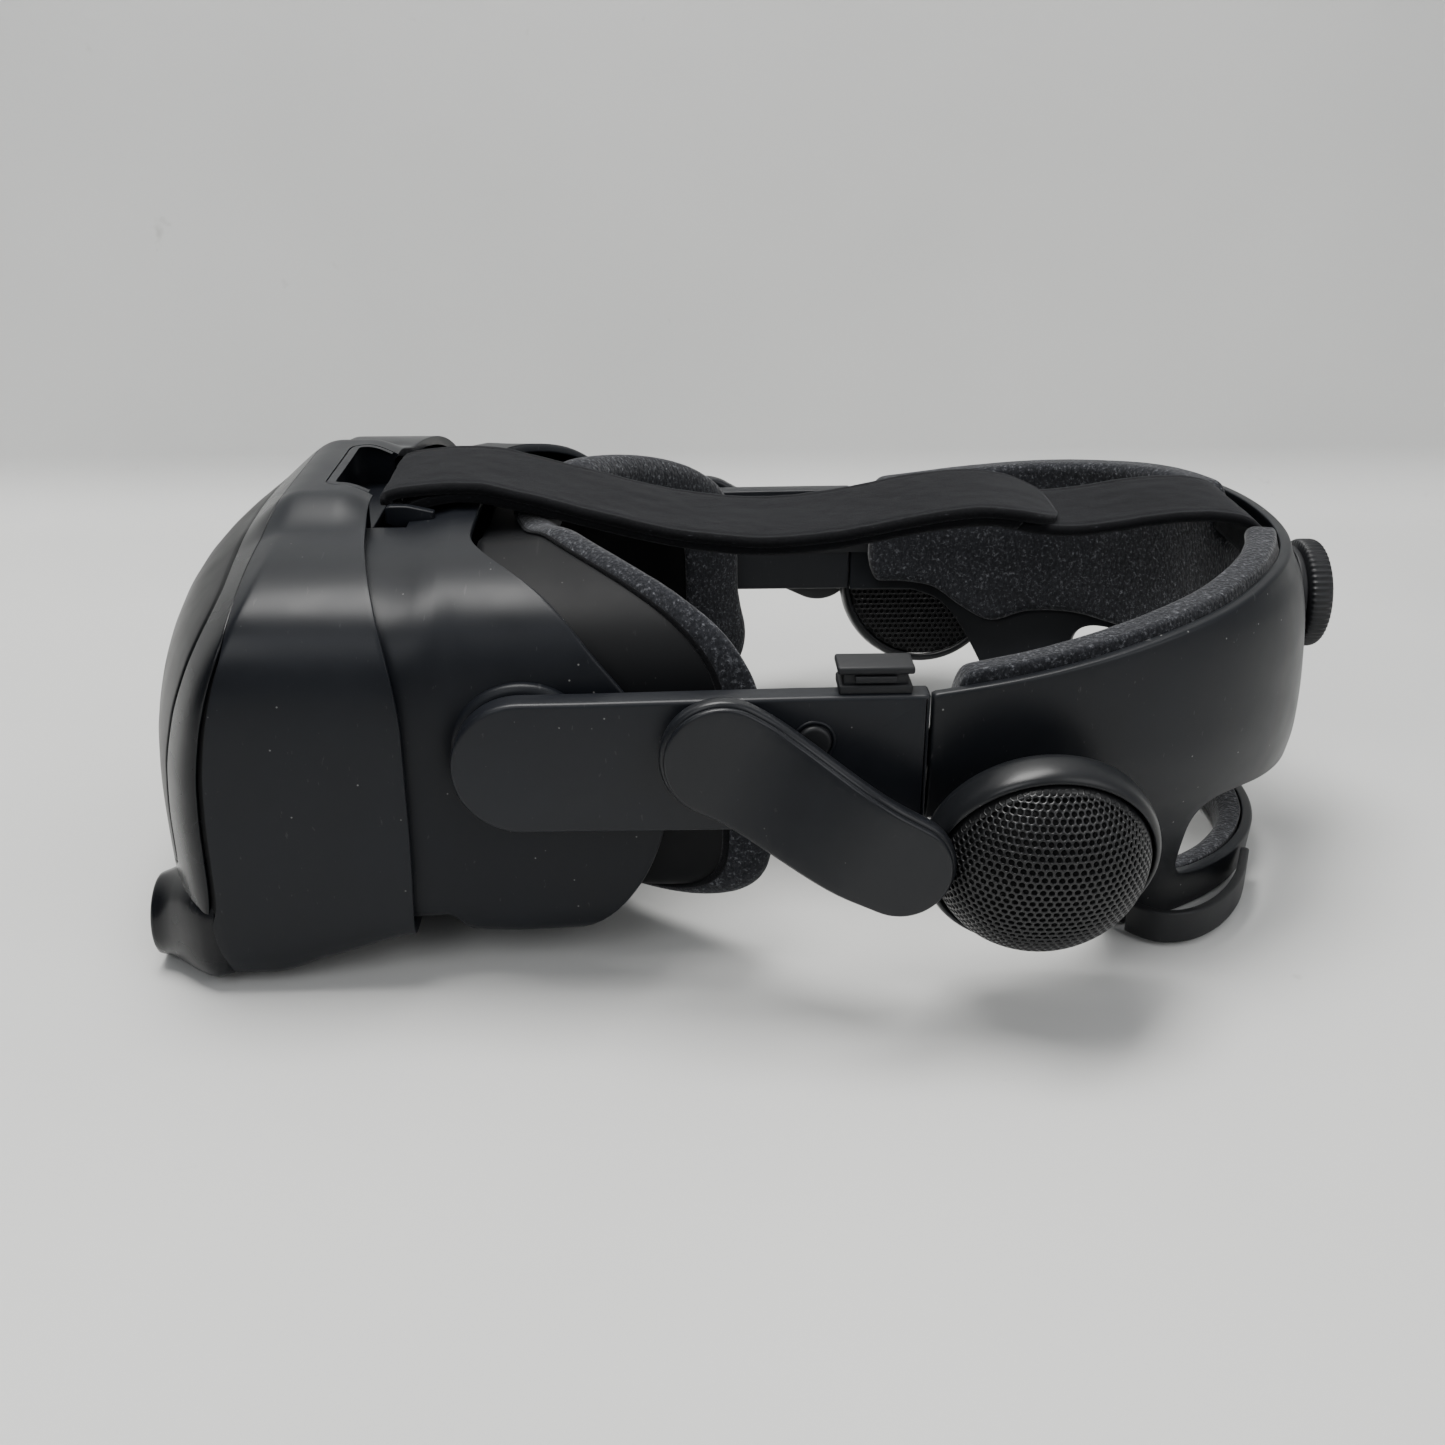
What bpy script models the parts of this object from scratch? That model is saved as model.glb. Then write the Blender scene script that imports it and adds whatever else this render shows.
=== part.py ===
"""VR headset as an assembly of separate named pieces. Millimetres in the numbers below, metres in the scene.

Front is -X, back is +X, the wearer's left is -Y, up is +Z, and the floor is Z = 0.
"""
import math

import bmesh
import bpy
import numpy as np
from mathutils import Matrix, Vector

for old in list(bpy.data.objects):
    bpy.data.objects.remove(old, do_unlink=True)

MM = 0.001

# ---- driving dimensions, mm -------------------------------------------------
SHIFT_X = 0.8         # puts the origin at the middle of the box
SHELL_W = 88.0         # visor half width
SHELL_ZC = 45.0        # centre height of the visor section
SHELL_HT = 60.0        # section height above the centre
WALL = 2.6             # shell wall
PLAN_R = 190.0         # plan radius of the front
ARM_Y0, ARM_Y1 = 83.4, 90.0   # side arm, inner and outer face
PIVOT = (-58.5, 61.0)  # arm pivot, X and Z
ARM_R = 16.5
SEAM_X = 36.5          # seam between arm and cradle
CR_XB = 150.2          # back of the cradle, outside
CR_T = 3.0             # cradle wall
DIAL_Z = 70.9
DIAL_R = 15.2
SPK = (60.0, 103.0, 43.6)     # speaker ring centre (X, |Y|, Z)
SPK_R = 26.5
SPK_TILT = 15.0        # the speaker's outward axis points down by this much

# ---- materials --------------------------------------------------------------
COLOURS = {
    "shell": ((0.020, 0.022, 0.026), 0.42, 0.0),
    "gloss": ((0.012, 0.012, 0.014), 0.12, 0.0),
    "dark": ((0.014, 0.015, 0.017), 0.55, 0.0),
    "grey": ((0.10, 0.10, 0.105), 0.5, 0.0),
    "steel": ((0.55, 0.55, 0.56), 0.3, 1.0),
    "alu": ((0.60, 0.60, 0.62), 0.35, 1.0),
    "mesh": ((0.018, 0.018, 0.02), 0.35, 0.6),
    "pcb": ((0.010, 0.045, 0.022), 0.5, 0.0),
    "lens": ((0.75, 0.80, 0.83), 0.03, 0.0),
    "fabric": ((0.035, 0.037, 0.043), 0.95, 0.0),
    "strap": ((0.012, 0.013, 0.017), 0.95, 0.0),
    "rubber": ((0.015, 0.015, 0.016), 0.7, 0.0),
}

parts = bpy.data.collections.new("vr_headset")
cutters = bpy.data.collections.new("cutters")
bpy.context.scene.collection.children.link(parts)
bpy.context.scene.collection.children.link(cutters)
cutters.hide_render = True


def material(name, key):
    mat = bpy.data.materials.new(name)
    mat.use_nodes = True
    bsdf = mat.node_tree.nodes["Principled BSDF"]
    colour, rough, metal = COLOURS[key]
    bsdf.inputs["Base Color"].default_value = (*colour, 1.0)
    bsdf.inputs["Roughness"].default_value = rough
    bsdf.inputs["Metallic"].default_value = metal
    mat.diffuse_color = (*colour, 1.0)
    return mat


def finish(bm, name, key, pivot=None, cutter=False):
    """A bmesh in mm becomes a named object whose origin is at pivot (mm)."""
    if bm.calc_volume(signed=True) < 0:
        bmesh.ops.reverse_faces(bm, faces=bm.faces[:])
    centre = Vector(pivot) if pivot else sum((v.co for v in bm.verts), Vector()) / len(bm.verts)
    centre = Vector([round(c, 3) for c in centre])
    bmesh.ops.translate(bm, verts=bm.verts[:], vec=-centre)
    bmesh.ops.scale(bm, verts=bm.verts[:], vec=(MM, MM, MM))
    me = bpy.data.meshes.new(name)
    bm.to_mesh(me)
    bm.free()
    obj = bpy.data.objects.new(name, me)
    obj.location = (centre + Vector((SHIFT_X, 0, 0))) * MM
    if cutter:
        cutters.objects.link(obj)
        obj.hide_render = True
        obj.display_type = "WIRE"
    else:
        parts.objects.link(obj)
        me.materials.append(material(name, key))
    return obj


def loft(rings, cyclic=False, fan=True):
    """Closed body through rings of equal count. cyclic joins the last ring to the first, as on a thick tube."""
    bm = bmesh.new()
    rows = [[bm.verts.new(p) for p in ring] for ring in rings]
    n = len(rows[0])
    pairs = list(zip(rows, rows[1:]))
    if cyclic:
        pairs.append((rows[-1], rows[0]))
    for a, b in pairs:
        for i in range(n):
            j = (i + 1) % n
            bm.faces.new((a[i], a[j], b[j], b[i]))
    if not cyclic:
        for row, flip in ((rows[0], True), (rows[-1], False)):
            if fan:
                mid = bm.verts.new(sum((v.co for v in row), Vector()) / n)
                for i in range(n):
                    j = (i + 1) % n
                    bm.faces.new((row[j], row[i], mid) if flip else (row[i], row[j], mid))
            else:
                bm.faces.new(row[::-1] if flip else row)
    bmesh.ops.recalc_face_normals(bm, faces=bm.faces[:])
    return bm


def box_bm(x0, x1, y0, y1, z0, z1):
    bm = bmesh.new()
    bmesh.ops.create_cube(bm, size=1.0)
    bmesh.ops.scale(bm, verts=bm.verts[:], vec=(x1 - x0, y1 - y0, z1 - z0))
    bmesh.ops.translate(bm, verts=bm.verts[:], vec=((x0 + x1) / 2, (y0 + y1) / 2, (z0 + z1) / 2))
    return bm


def turn_to(axis):
    return Vector(axis).normalized().to_track_quat("Z", "Y").to_matrix().to_4x4()


def cyl_bm(centre, axis, r, length, seg=32, r2=None):
    """Cylinder or cone, centre at its middle, r at the -axis end and r2 at the +axis end."""
    bm = bmesh.new()
    bmesh.ops.create_cone(bm, cap_ends=True, segments=seg, radius1=r, radius2=r if r2 is None else r2, depth=length)
    bmesh.ops.transform(bm, matrix=Matrix.Translation(centre) @ turn_to(axis), verts=bm.verts[:])
    return bm


def lathe_bm(profile, centre, axis, seg=32):
    """Turned body: profile of (r, h) from one axis point to another, or a closed loop when no r is 0."""
    m = Matrix.Translation(centre) @ turn_to(axis)
    bm = bmesh.new()
    closed = min(r for r, _ in profile) > 0
    rows = []
    for r, h in profile:
        if r <= 1e-9:
            rows.append([bm.verts.new(m @ Vector((0, 0, h)))])
        else:
            rows.append([bm.verts.new(m @ Vector((r * math.cos(2 * math.pi * i / seg), r * math.sin(2 * math.pi * i / seg), h))) for i in range(seg)])
    pairs = list(zip(rows, rows[1:])) + ([(rows[-1], rows[0])] if closed else [])
    for a, b in pairs:
        for i in range(seg):
            j = (i + 1) % seg
            if len(a) == 1:
                bm.faces.new((a[0], b[j], b[i]))
            elif len(b) == 1:
                bm.faces.new((a[i], a[j], b[0]))
            else:
                bm.faces.new((a[i], a[j], b[j], b[i]))
    bmesh.ops.recalc_face_normals(bm, faces=bm.faces[:])
    return bm


def prism_bm(outline, axis, lo, hi):
    """Outline of 2D points extruded along axis X, Y or Z from lo to hi."""
    place = {"X": lambda a, b, h: (h, a, b), "Y": lambda a, b, h: (a, h, b), "Z": lambda a, b, h: (a, b, h)}[axis]
    return loft([[place(a, b, lo) for a, b in outline], [place(a, b, hi) for a, b in outline]], fan=False)


def add_bevel(obj, width, segments=2, angle=40):
    mod = obj.modifiers.new("bevel", "BEVEL")
    mod.width = width * MM
    mod.segments = segments
    mod.limit_method = "ANGLE"
    mod.angle_limit = math.radians(angle)
    mod.harden_normals = False
    return obj


def boolean(obj, cutter, operation="DIFFERENCE"):
    mod = obj.modifiers.new(operation.lower(), "BOOLEAN")
    mod.operation = operation
    mod.solver = "EXACT"
    mod.object = cutter
    return obj


count = [0]


def cut(obj, bm, operation="DIFFERENCE"):
    count[0] += 1
    return boolean(obj, finish(bm, "cutter_%02d" % count[0], "dark", cutter=True), operation)


def rounded(outline, radius, steps=4):
    """Corners of a 2D outline rounded with arcs of about this radius."""
    out = []
    n = len(outline)
    rad = radius if isinstance(radius, (list, tuple)) else [radius] * n
    for i in range(n):
        a, b, c = (Vector(outline[(i - 1) % n]), Vector(outline[i]), Vector(outline[(i + 1) % n]))
        if rad[i] <= 0:
            out.append(tuple(b))
            continue
        u, v = (a - b), (c - b)
        t = min(rad[i], u.length * 0.45, v.length * 0.45)
        p, q = b + u.normalized() * t, b + v.normalized() * t
        for k in range(steps + 1):
            s = k / steps
            out.append(tuple(p * (1 - s) ** 2 + b * 2 * s * (1 - s) + q * s * s))
    return out


def smooth(points, per=6, closed=False):
    """Catmull-Rom through points."""
    pts = [Vector(p) for p in points]
    n = len(pts)
    out = []
    spans = n if closed else n - 1
    for i in range(spans):
        if closed:
            p0, p1, p2, p3 = pts[(i - 1) % n], pts[i], pts[(i + 1) % n], pts[(i + 2) % n]
        else:
            p0, p1, p2, p3 = pts[max(i - 1, 0)], pts[i], pts[i + 1], pts[min(i + 2, n - 1)]
        for k in range(per):
            t = k / per
            out.append(0.5 * ((2 * p1) + (p2 - p0) * t + (2 * p0 - 5 * p1 + 4 * p2 - p3) * t * t + (3 * p1 - p0 - 3 * p2 + p3) * t ** 3))
    if not closed:
        out.append(pts[-1])
    return out


def lerp_table(table, x):
    xs, ys = zip(*table)
    return float(np.interp(x, xs, ys))


# ---- visor surface ----------------------------------------------------------
FRONT_X = [(0, -152), (7, -156.5), (14, -159.3), (27, -161.0), (42, -161.2), (55, -160.4), (68, -157.6), (80, -152.8), (88, -147.8), (94, -142.4), (99.4, -136), (104, -128.5), (107, -121), (109, -112)]


def section_radius(th, width=SHELL_W, up=SHELL_HT, down=SHELL_ZC - 0.8, nt=5.0, nb=12.0):
    c, s = abs(math.cos(th)), math.sin(th)
    n, h = (nt, up) if s >= 0 else (nb, down)
    return ((c / width) ** n + (abs(s) / h) ** n) ** (-1.0 / n)


def hump(x, y):
    """The raised saddle round the strap pocket."""
    fx = min(1.0, max(0.0, (x + 136.0) / 20.0))
    fx = fx * fx * (3 - 2 * fx)
    gx = min(1.0, max(0.0, (-92.0 - x) / 16.0))
    fx *= gx * gx * (3 - 2 * gx)
    fy = min(1.0, max(0.0, (44.0 - abs(y)) / 18.0))
    fy = fy * fy * (3 - 2 * fy)
    return 5.4 * fx * fy


def rim_x(th):
    s = math.sin(th)
    return -121.0 + 15.0 * max(s, 0) ** 3 - 15.0 * max(-s, 0) ** 2


def ramp(t):
    t = min(1.0, max(0.0, t))
    return t * t * (3 - 2 * t)


def shell_rear(th):
    """X of the front shell's rear edge: upright at the sides, swept forwards over the top."""
    s = math.sin(th)
    return -86.0 - 14.0 * ramp((s - 0.25) / 0.7) - 3.0 * ramp(-s / 0.9)


def dome(th, s, inset=0.0):
    """Point of the front dome at angle th and ring s (1 at the rim), moved inwards by inset."""
    r = (section_radius(th) - inset) * s
    y, z = r * math.cos(th), SHELL_ZC + r * math.sin(th)
    core = lerp_table(FRONT_X, z) + y * y / (2 * PLAN_R) + inset
    rim = rim_x(th)
    x = rim - (rim - core) * max(0.0, 1.0 - s ** 9) ** (1 / 9)
    if inset == 0.0 and z > SHELL_ZC:
        z += hump(x, y) * min(1.0, (z - SHELL_ZC) / 50.0)
    return Vector((x, y, z))


def bottom_at(x):
    return lerp_table([(-136, 0.8), (-130, 1.4), (-110, 5.0), (-84, 12.0), (-60, 11.0), (-40, 10.0)], x)


def sleeve(th, x, inset=0.0, with_hump=True):
    """Point of the shell's straight part at X = x."""
    r = section_radius(th, down=SHELL_ZC - bottom_at(x)) - inset
    y, z = r * math.cos(th), SHELL_ZC + r * math.sin(th)
    if with_hump and z > SHELL_ZC:
        z += hump(x, y)
    return Vector((x, y, z))


NT_RING = 64
ANGLES = [2 * math.pi * (i + 0.5) / NT_RING for i in range(NT_RING)]


def seam_x(z):
    return lerp_table([(0, -135.9), (18.5, -135.6), (26, -129.1), (60, -126.5), (91, -124.8), (98, -124.4), (104, -124.0), (108, -122.5), (114, -120.0)], z)


def seam_s(th):
    lo, hi = 0.6, 1.0
    for _ in range(30):
        mid = (lo + hi) / 2
        p = dome(th, mid)
        if p.x < seam_x(p.z):
            lo = mid
        else:
            hi = mid
    return (lo + hi) / 2


SEAM = [min(seam_s(th), 0.999) for th in ANGLES]

# front housing: a thick tube from the seam to the rear edge
outer = []
for k in (0.012, 0.35, 0.7, 1.0):
    outer.append([dome(th, s + (1 - s) * k) for th, s in zip(ANGLES, SEAM)])
for k in (0.25, 0.5, 0.75, 1.0):
    outer.append([sleeve(th, rim_x(th) + (shell_rear(th) - rim_x(th)) * k) for th in ANGLES])
inner = []
for k in (1.0, 0.5, 0.0):
    inner.append([sleeve(th, rim_x(th) + 3 + (shell_rear(th) - rim_x(th) - 3) * k, inset=WALL, with_hump=False) for th in ANGLES])
inner.append([dome(th, s + (1 - s) * 0.012, inset=WALL) + Vector((0.4, 0, 0)) for th, s in zip(ANGLES, SEAM)])
front_housing = finish(loft(outer + inner, cyclic=True), "front_housing", "shell")

POCKET_X0, POCKET_Y = -112.5, 21.4
# the pocket's walls hang inside the shell, then the recess and the strap's way out are cut
cut(front_housing, box_bm(-114.6, -100.4, -24.5, 24.5, 96.0, 105.6), "UNION")
cut(front_housing, prism_bm(rounded([(POCKET_X0, -POCKET_Y), (-80.0, -POCKET_Y), (-80.0, POCKET_Y), (POCKET_X0, POCKET_Y)], [4, 0, 0, 4]), "Z", 99.0, 125.0))
cut(front_housing, box_bm(-98.5, -80.0, -22.3, 22.3, 90.0, 125.0))
cut(front_housing, box_bm(-104.0, -80.0, -25.8, 25.8, 98.9, 106.2))
# feet, then slots underneath for the lens slider, the button, and rest pads at the nose
for side in (-1, 1):
    cut(front_housing, prism_bm([(-134.6, 0.0), (-127.0, 0.0), (-126.0, 3.4), (-134.6, 3.4)], "Y", 50.0 if side > 0 else -62.0, 62.0 if side > 0 else -50.0), "UNION")
cut(front_housing, box_bm(-118.0, -106.0, -46.0, -22.0, -5.0, 14.0))
cut(front_housing, cyl_bm((-112, 46, 5), (0, 0, 1), 5.6, 30, 24))

# bezel: the glossy band between the seam and the front plate
PLATE_S = 0.86


def plate_s(th):
    """The plate's edge, drawn in above each camera nose."""
    y = SHELL_W * math.cos(th)
    base = PLATE_S + 0.07 * ramp((math.sin(th) - 0.3) / 0.6)
    if math.sin(th) < 0:
        z_low = 27.0 - 13.0 * (1 - min(1.0, max(0.0, (abs(y) - 30.0) / 22.0)))
        s_low = (SHELL_ZC - z_low) / max(1e-6, section_radius(th) * -math.sin(th))
        base = min(base, s_low)
    return base


PLATE = [min(plate_s(th), seam - 0.06) for th, seam in zip(ANGLES, SEAM)]
def under(th, s, back, pull):
    """A point of the dome moved back by this much and pulled towards the axis."""
    p = dome(th, s)
    return p + Vector((back, -pull * math.cos(th), -pull * math.sin(th)))


outer = [[dome(th, a + (b - a) * k) for th, a, b in zip(ANGLES, PLATE, SEAM)] for k in (0.06, 0.35, 0.7, 0.985)]
inner = [[under(th, a + (b - a) * k, back, pull) for th, a, b in zip(ANGLES, PLATE, SEAM)] for k, back, pull in ((0.80, 0.6, 2.0), (0.62, 1.8, 1.6), (0.35, 2.2, 0.8), (0.06, 2.3, 0.0))]
bezel = finish(loft(outer + inner, cyclic=True), "bezel", "gloss")

# front cover: the removable plate
rings = [[dome(th, a * k) + Vector((0.0 if k < 1 else 0.5, 0, 0)) for th, a in zip(ANGLES, PLATE)] for k in (0.25, 0.6, 0.93, 1.0)]
rings += [[dome(th, a * k) + Vector((1.9, 0, 0)) for th, a in zip(ANGLES, PLATE)] for k in (1.0, 0.6, 0.25)]
front_cover = finish(loft(rings), "front_cover", "gloss")

# camera noses: a barrel with a window, one each side
for side, tag in ((-1, "left"), (1, "right")):
    c = Vector((-147.0, 66.0 * side, 11.2))
    barrel = finish(lathe_bm([(0, -6.5), (10.6, -6.5), (10.6, 3.0), (10.0, 5.6), (9.0, 7.0), (0, 7.0)], c, (-1, 0.06 * side, 0), 28), tag + "_camera_barrel", "shell")
    window = finish(lathe_bm([(0, 7.3), (9.4, 7.3), (9.0, 8.3), (5.0, 8.9), (0, 9.1)], c, (-1, 0.06 * side, 0), 28), tag + "_camera_window", "gloss")
    cut(bezel, cyl_bm(c, (-1, 0.06 * side, 0), 11.0, 40, 28))
    cut(front_housing, cyl_bm(c, (-1, 0.06 * side, 0), 11.0, 13.6, 28))


# ---- rear housing: the sleeve inside the front shell, with an ear each side ----
REAR_Z = 109.0
EDGE_SIDE = [(9.0, -52.0), (13, -42.3), (24, -31.8), (31, -28.3), (42, -25.3), (60, -27.0), (75, -33.3), (83, -39.8), (93, -48.3), (102, -57.3), (106, -66.0)]


def rear_w(x):
    return lerp_table([(-96, 84.6), (-84, 84.4), (-77, 83.4), (-72, 82.2), (-60, 81.6), (-25, 80.6)], x)


# the underside clears the front shell's wall over the whole eye relief travel
REAR_LOW = [(-96, 13.6), (-89.6, 15.1), (-79.2, 15.1), (-73.6, 9.8), (-60, 8.6), (-40, 9.2)]


def rear_point(th, x, inset=0.0):
    w = rear_w(x) - inset
    r = section_radius(th, width=w, up=lerp_table([(-87, 56.6), (-80, 58.4)], x) - inset, down=SHELL_ZC - lerp_table(REAR_LOW, x) - inset)
    return Vector((x, r * math.cos(th), SHELL_ZC + r * math.sin(th)))


def rear_front(th):
    """X of the rear housing's front edge, which stays under the front shell over its whole travel."""
    return -96.0 - 12.0 * ramp((math.sin(th) - 0.25) / 0.7)


def rear_edge(th):
    """X of the rear housing's rear edge at this angle: ears at the sides, cut back over the nose and forehead."""
    z = SHELL_ZC + math.sin(th) * 60
    side = lerp_table(EDGE_SIDE, rear_point(th, -60.0).z)
    y = abs(rear_point(th, -60.0).y)
    if math.sin(th) > 0:
        k = min(1.0, max(0.0, (y - 40.0) / 36.0))
        return -73.0 + (side + 73.0) * k * k * (3 - 2 * k)
    k = min(1.0, max(0.0, (y - 16.0) / 40.0))
    return -74.0 + (side + 74.0) * k * k * (3 - 2 * k)


outer = [[rear_point(th, x or rear_front(th)) for th in ANGLES] for x in (0, -89.6, -84.4, -79.2)]
for k in (0.5, 1.0):
    outer.append([rear_point(th, -79.2 + (rear_edge(th) + 79.2) * k) for th in ANGLES])
inner = []
for k in (1.0, 0.5):
    inner.append([rear_point(th, -79.2 + (rear_edge(th) + 79.2) * k, inset=2.4) for th in ANGLES])
inner += [[rear_point(th, x or rear_front(th), inset=2.4) for th in ANGLES] for x in (-79.2, -84.4, -89.6, 0)]
rear_housing = finish(loft(outer + inner, cyclic=True), "rear_housing", "shell")

# the strap bar and the two cheeks that carry it
BAR = (-94.6, 103.6)
cut(rear_housing, box_bm(-115.0, -90.5, -30.0, 30.0, 92.0, 110.0))
for side in (-1, 1):
    cut(rear_housing, prism_bm([(-96.6, 101.0), (-96.6, 105.6), (-91.0, 105.6), (-84.0, 104.0), (-84.0, 100.0), (-94.0, 100.0)], "Y", 22.3 if side > 0 else -25.0, 25.0 if side > 0 else -22.3), "UNION")
strap_bar = finish(cyl_bm((BAR[0], 0, BAR[1]), (0, 1, 0), 1.5, 44.0, 12), "strap_bar", "steel")

# pivot bosses: a hollow stud on each ear that the arm turns on
for side, tag in ((-1, "left"), (1, "right")):
    y0, y1 = 79.6, 83.0
    cut(rear_housing, cyl_bm((PIVOT[0], side * (y0 + y1) / 2, PIVOT[1]), (0, side, 0), 12.0, y1 - y0, 32), "UNION")
    cut(rear_housing, cyl_bm((PIVOT[0], side * 84.6, PIVOT[1]), (0, side, 0), 7.0, 4.4, 28), "UNION")
for side in (-1, 1):
    cut(rear_housing, cyl_bm((PIVOT[0], side * 80.0, PIVOT[1]), (0, 1, 0), 4.6, 20.0, 24))

# ---- face gasket ------------------------------------------------------------
GASKET_W = 74.0


def gasket_ring(width, top, bottom, back, shrink, n=60):
    """A C-shaped ring that follows the face: further back at the temples, cut in over the nose."""
    ring = []
    for i in range(n):
        th = 2 * math.pi * (i + 0.5) / n
        zc = 54.0
        w, up, down = width - shrink, top - zc - shrink, zc - bottom - shrink
        c, s = math.cos(th), math.sin(th)
        nn = 3.6
        r = ((abs(c) / w) ** nn + (abs(s) / (up if s > 0 else down)) ** nn) ** (-1 / nn)
        y, z = r * c, zc + r * s
        if s > 0:
            lift = min(1.0, max(0.0, (abs(y) - 22.5) / 14.0))
            z += 3.4 * s * lift * lift * (3 - 2 * lift)
        if s < 0:
            notch = max(0.0, 1 - (abs(y) / 24.0) ** 2)
            z += 26.0 * notch * notch
        x = -62.0 + 57.0 * (min(abs(y), 76.0) / 76.0) ** 2.2 + back
        x += 7.0 * max(0.0, -s) ** 2 * (abs(y) / 76.0)
        ring.append(Vector((x, y, z)))
    return ring


def gasket_front(ring, x):
    return [Vector((x, p.y, p.z)) for p in ring]


edge_out = gasket_ring(GASKET_W, 98.4, 12.0, 0.0, 0.0)
edge_in = gasket_ring(GASKET_W, 98.4, 12.0, 0.0, 7.0)
skirt_out = gasket_front(gasket_ring(GASKET_W - 1.0, 97.2, 13.5, 0.0, 0.0), -72.0)
skirt_in = gasket_front(gasket_ring(GASKET_W - 1.0, 97.2, 13.5, 0.0, 2.6), -72.0)
mid_out = [(a * 0.35 + b * 0.65) for a, b in zip(skirt_out, edge_out)]
mid_in = [(a * 0.35 + b * 0.65) + Vector((-2.0, 0, 0)) for a, b in zip(skirt_in, gasket_ring(GASKET_W, 98.4, 12.0, 0.0, 2.8))]
gasket_frame = finish(loft([skirt_out, mid_out, edge_out, edge_in, mid_in, skirt_in], cyclic=True), "gasket_frame", "dark")
foam = []
for back, shrink in ((0.8, 0.3), (4.5, -0.6), (7.6, 1.0), (8.2, 4.5), (7.2, 8.4), (4.0, 8.6), (0.8, 6.6)):
    foam.append(gasket_ring(GASKET_W, 98.4, 12.0, back, shrink))
gasket_foam = finish(loft(foam, cyclic=True), "gasket_foam", "fabric")

# ---- side arms --------------------------------------------------------------


def arm_outline(grow=0.0):
    px, pz = PIVOT
    r = ARM_R + grow
    pts = []
    for i in range(15):
        a = math.radians(90 + 180 * i / 14)
        pts.append((px + r * math.cos(a), pz + r * math.sin(a)))
    pts += [(SEAM_X - 0.4 + grow, 44.5 - grow), (SEAM_X - 0.4 + grow, 78.6 + grow)]
    pts.append((-20.0, 78.0 + grow))
    return pts


HOLE_R = 7.3
for side, tag in ((-1, "left"), (1, "right")):
    lo, hi = (ARM_Y0, ARM_Y1) if side > 0 else (-ARM_Y1, -ARM_Y0)
    arm = finish(prism_bm(arm_outline(), "Y", lo, hi), tag + "_arm", "shell", pivot=(PIVOT[0], side * 86.7, PIVOT[1]))
    if side < 0:
        cut(arm, cyl_bm((PIVOT[0], side * 84.6, PIVOT[1]), (0, 1, 0), HOLE_R, 5.2, 28))
    else:
        cut(arm, cyl_bm((PIVOT[0], side * 84.6, PIVOT[1]), (0, 1, 0), HOLE_R, 30.0, 28))
    # channel that the rack sits in and the boss behind the speaker arm
    cut(arm, box_bm(SEAM_X - 26.0, SEAM_X + 5, side * 82.5 - 1.7, side * 82.5 + 1.7, 57.0, 69.6))

# racks: flat toothed strips from each arm into the cradle
RACK_Y = 83.0
for side, tag in ((-1, "left"), (1, "right")):
    pts = [(SEAM_X - 25.0, 57.6), (SEAM_X + 19.5, 57.6)]
    for i in range(9):
        x = SEAM_X + 19.5 - i * 2.0
        pts += [(x, 67.2), (x - 1.0, 69.0)]
    pts += [(SEAM_X - 25.0, 69.0)]
    finish(prism_bm(pts, "Y", side * RACK_Y - 0.7, side * RACK_Y + 0.7), tag + "_rack", "dark")

# cable clip: an H-shaped hook inside the left arm
clip = finish(box_bm(15.0, 32.0, -88.6, -79.4, 79.0, 85.2), "cable_clip", "gloss")
cut(clip, box_bm(17.2, 29.8, -86.6, -81.2, 77.0, 83.4))
cut(clip, box_bm(17.2, 29.8, -86.6, -76.0, 80.9, 83.4))


# ---- rear cradle ------------------------------------------------------------
CR_BACK = [(-2, 144.7), (0, 145.2), (14, 146.2), (30, 150.2), (45, 152.2), (70, 150.7), (85, 147.7), (92, 144.2), (99, 142.2)]
CR_WIDE = [(-2, 72.0), (0, 72.0), (14, 75.0), (36, 82.0), (45, 85.5), (60, 88.8), (80, 89.6), (99, 88.0)]


def cradle_arc(z, inset, steps=22, x_start=SEAM_X, x_min=None):
    """Plan curve of the cradle at this height: left end, round the back, right end."""
    xb, w = lerp_table(CR_BACK, z) - inset, lerp_table(CR_WIDE, z) - inset
    pts = []
    reach = math.pi / 2 if x_min is None else math.acos(((x_min - SEAM_X) / (xb - SEAM_X)) ** 1.1)
    for i in range(steps + 1):
        f = reach * (2 * i / steps - 1)
        c, s = math.cos(f), math.sin(f)
        x = SEAM_X + (xb - SEAM_X) * (abs(c) ** (2 / 2.2))
        y = w * math.copysign(abs(s) ** (2 / 2.2), s)
        pts.append((x, y))
    if x_min is not None:
        return pts
    return [(x_start, pts[0][1])] + pts[1:-1] + [(x_start, pts[-1][1])]


def cradle_sheet(inset_out, inset_in, heights, x_start=SEAM_X, steps=22, x_min=None):
    rings = []
    for z in heights:
        a, b = cradle_arc(z, inset_out, steps, x_start, x_min), cradle_arc(z, inset_in, steps, x_start, x_min)
        rings.append([(x, y, z) for x, y in a] + [(x, y, z) for x, y in b[::-1]])
    return loft(rings, fan=False)


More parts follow.
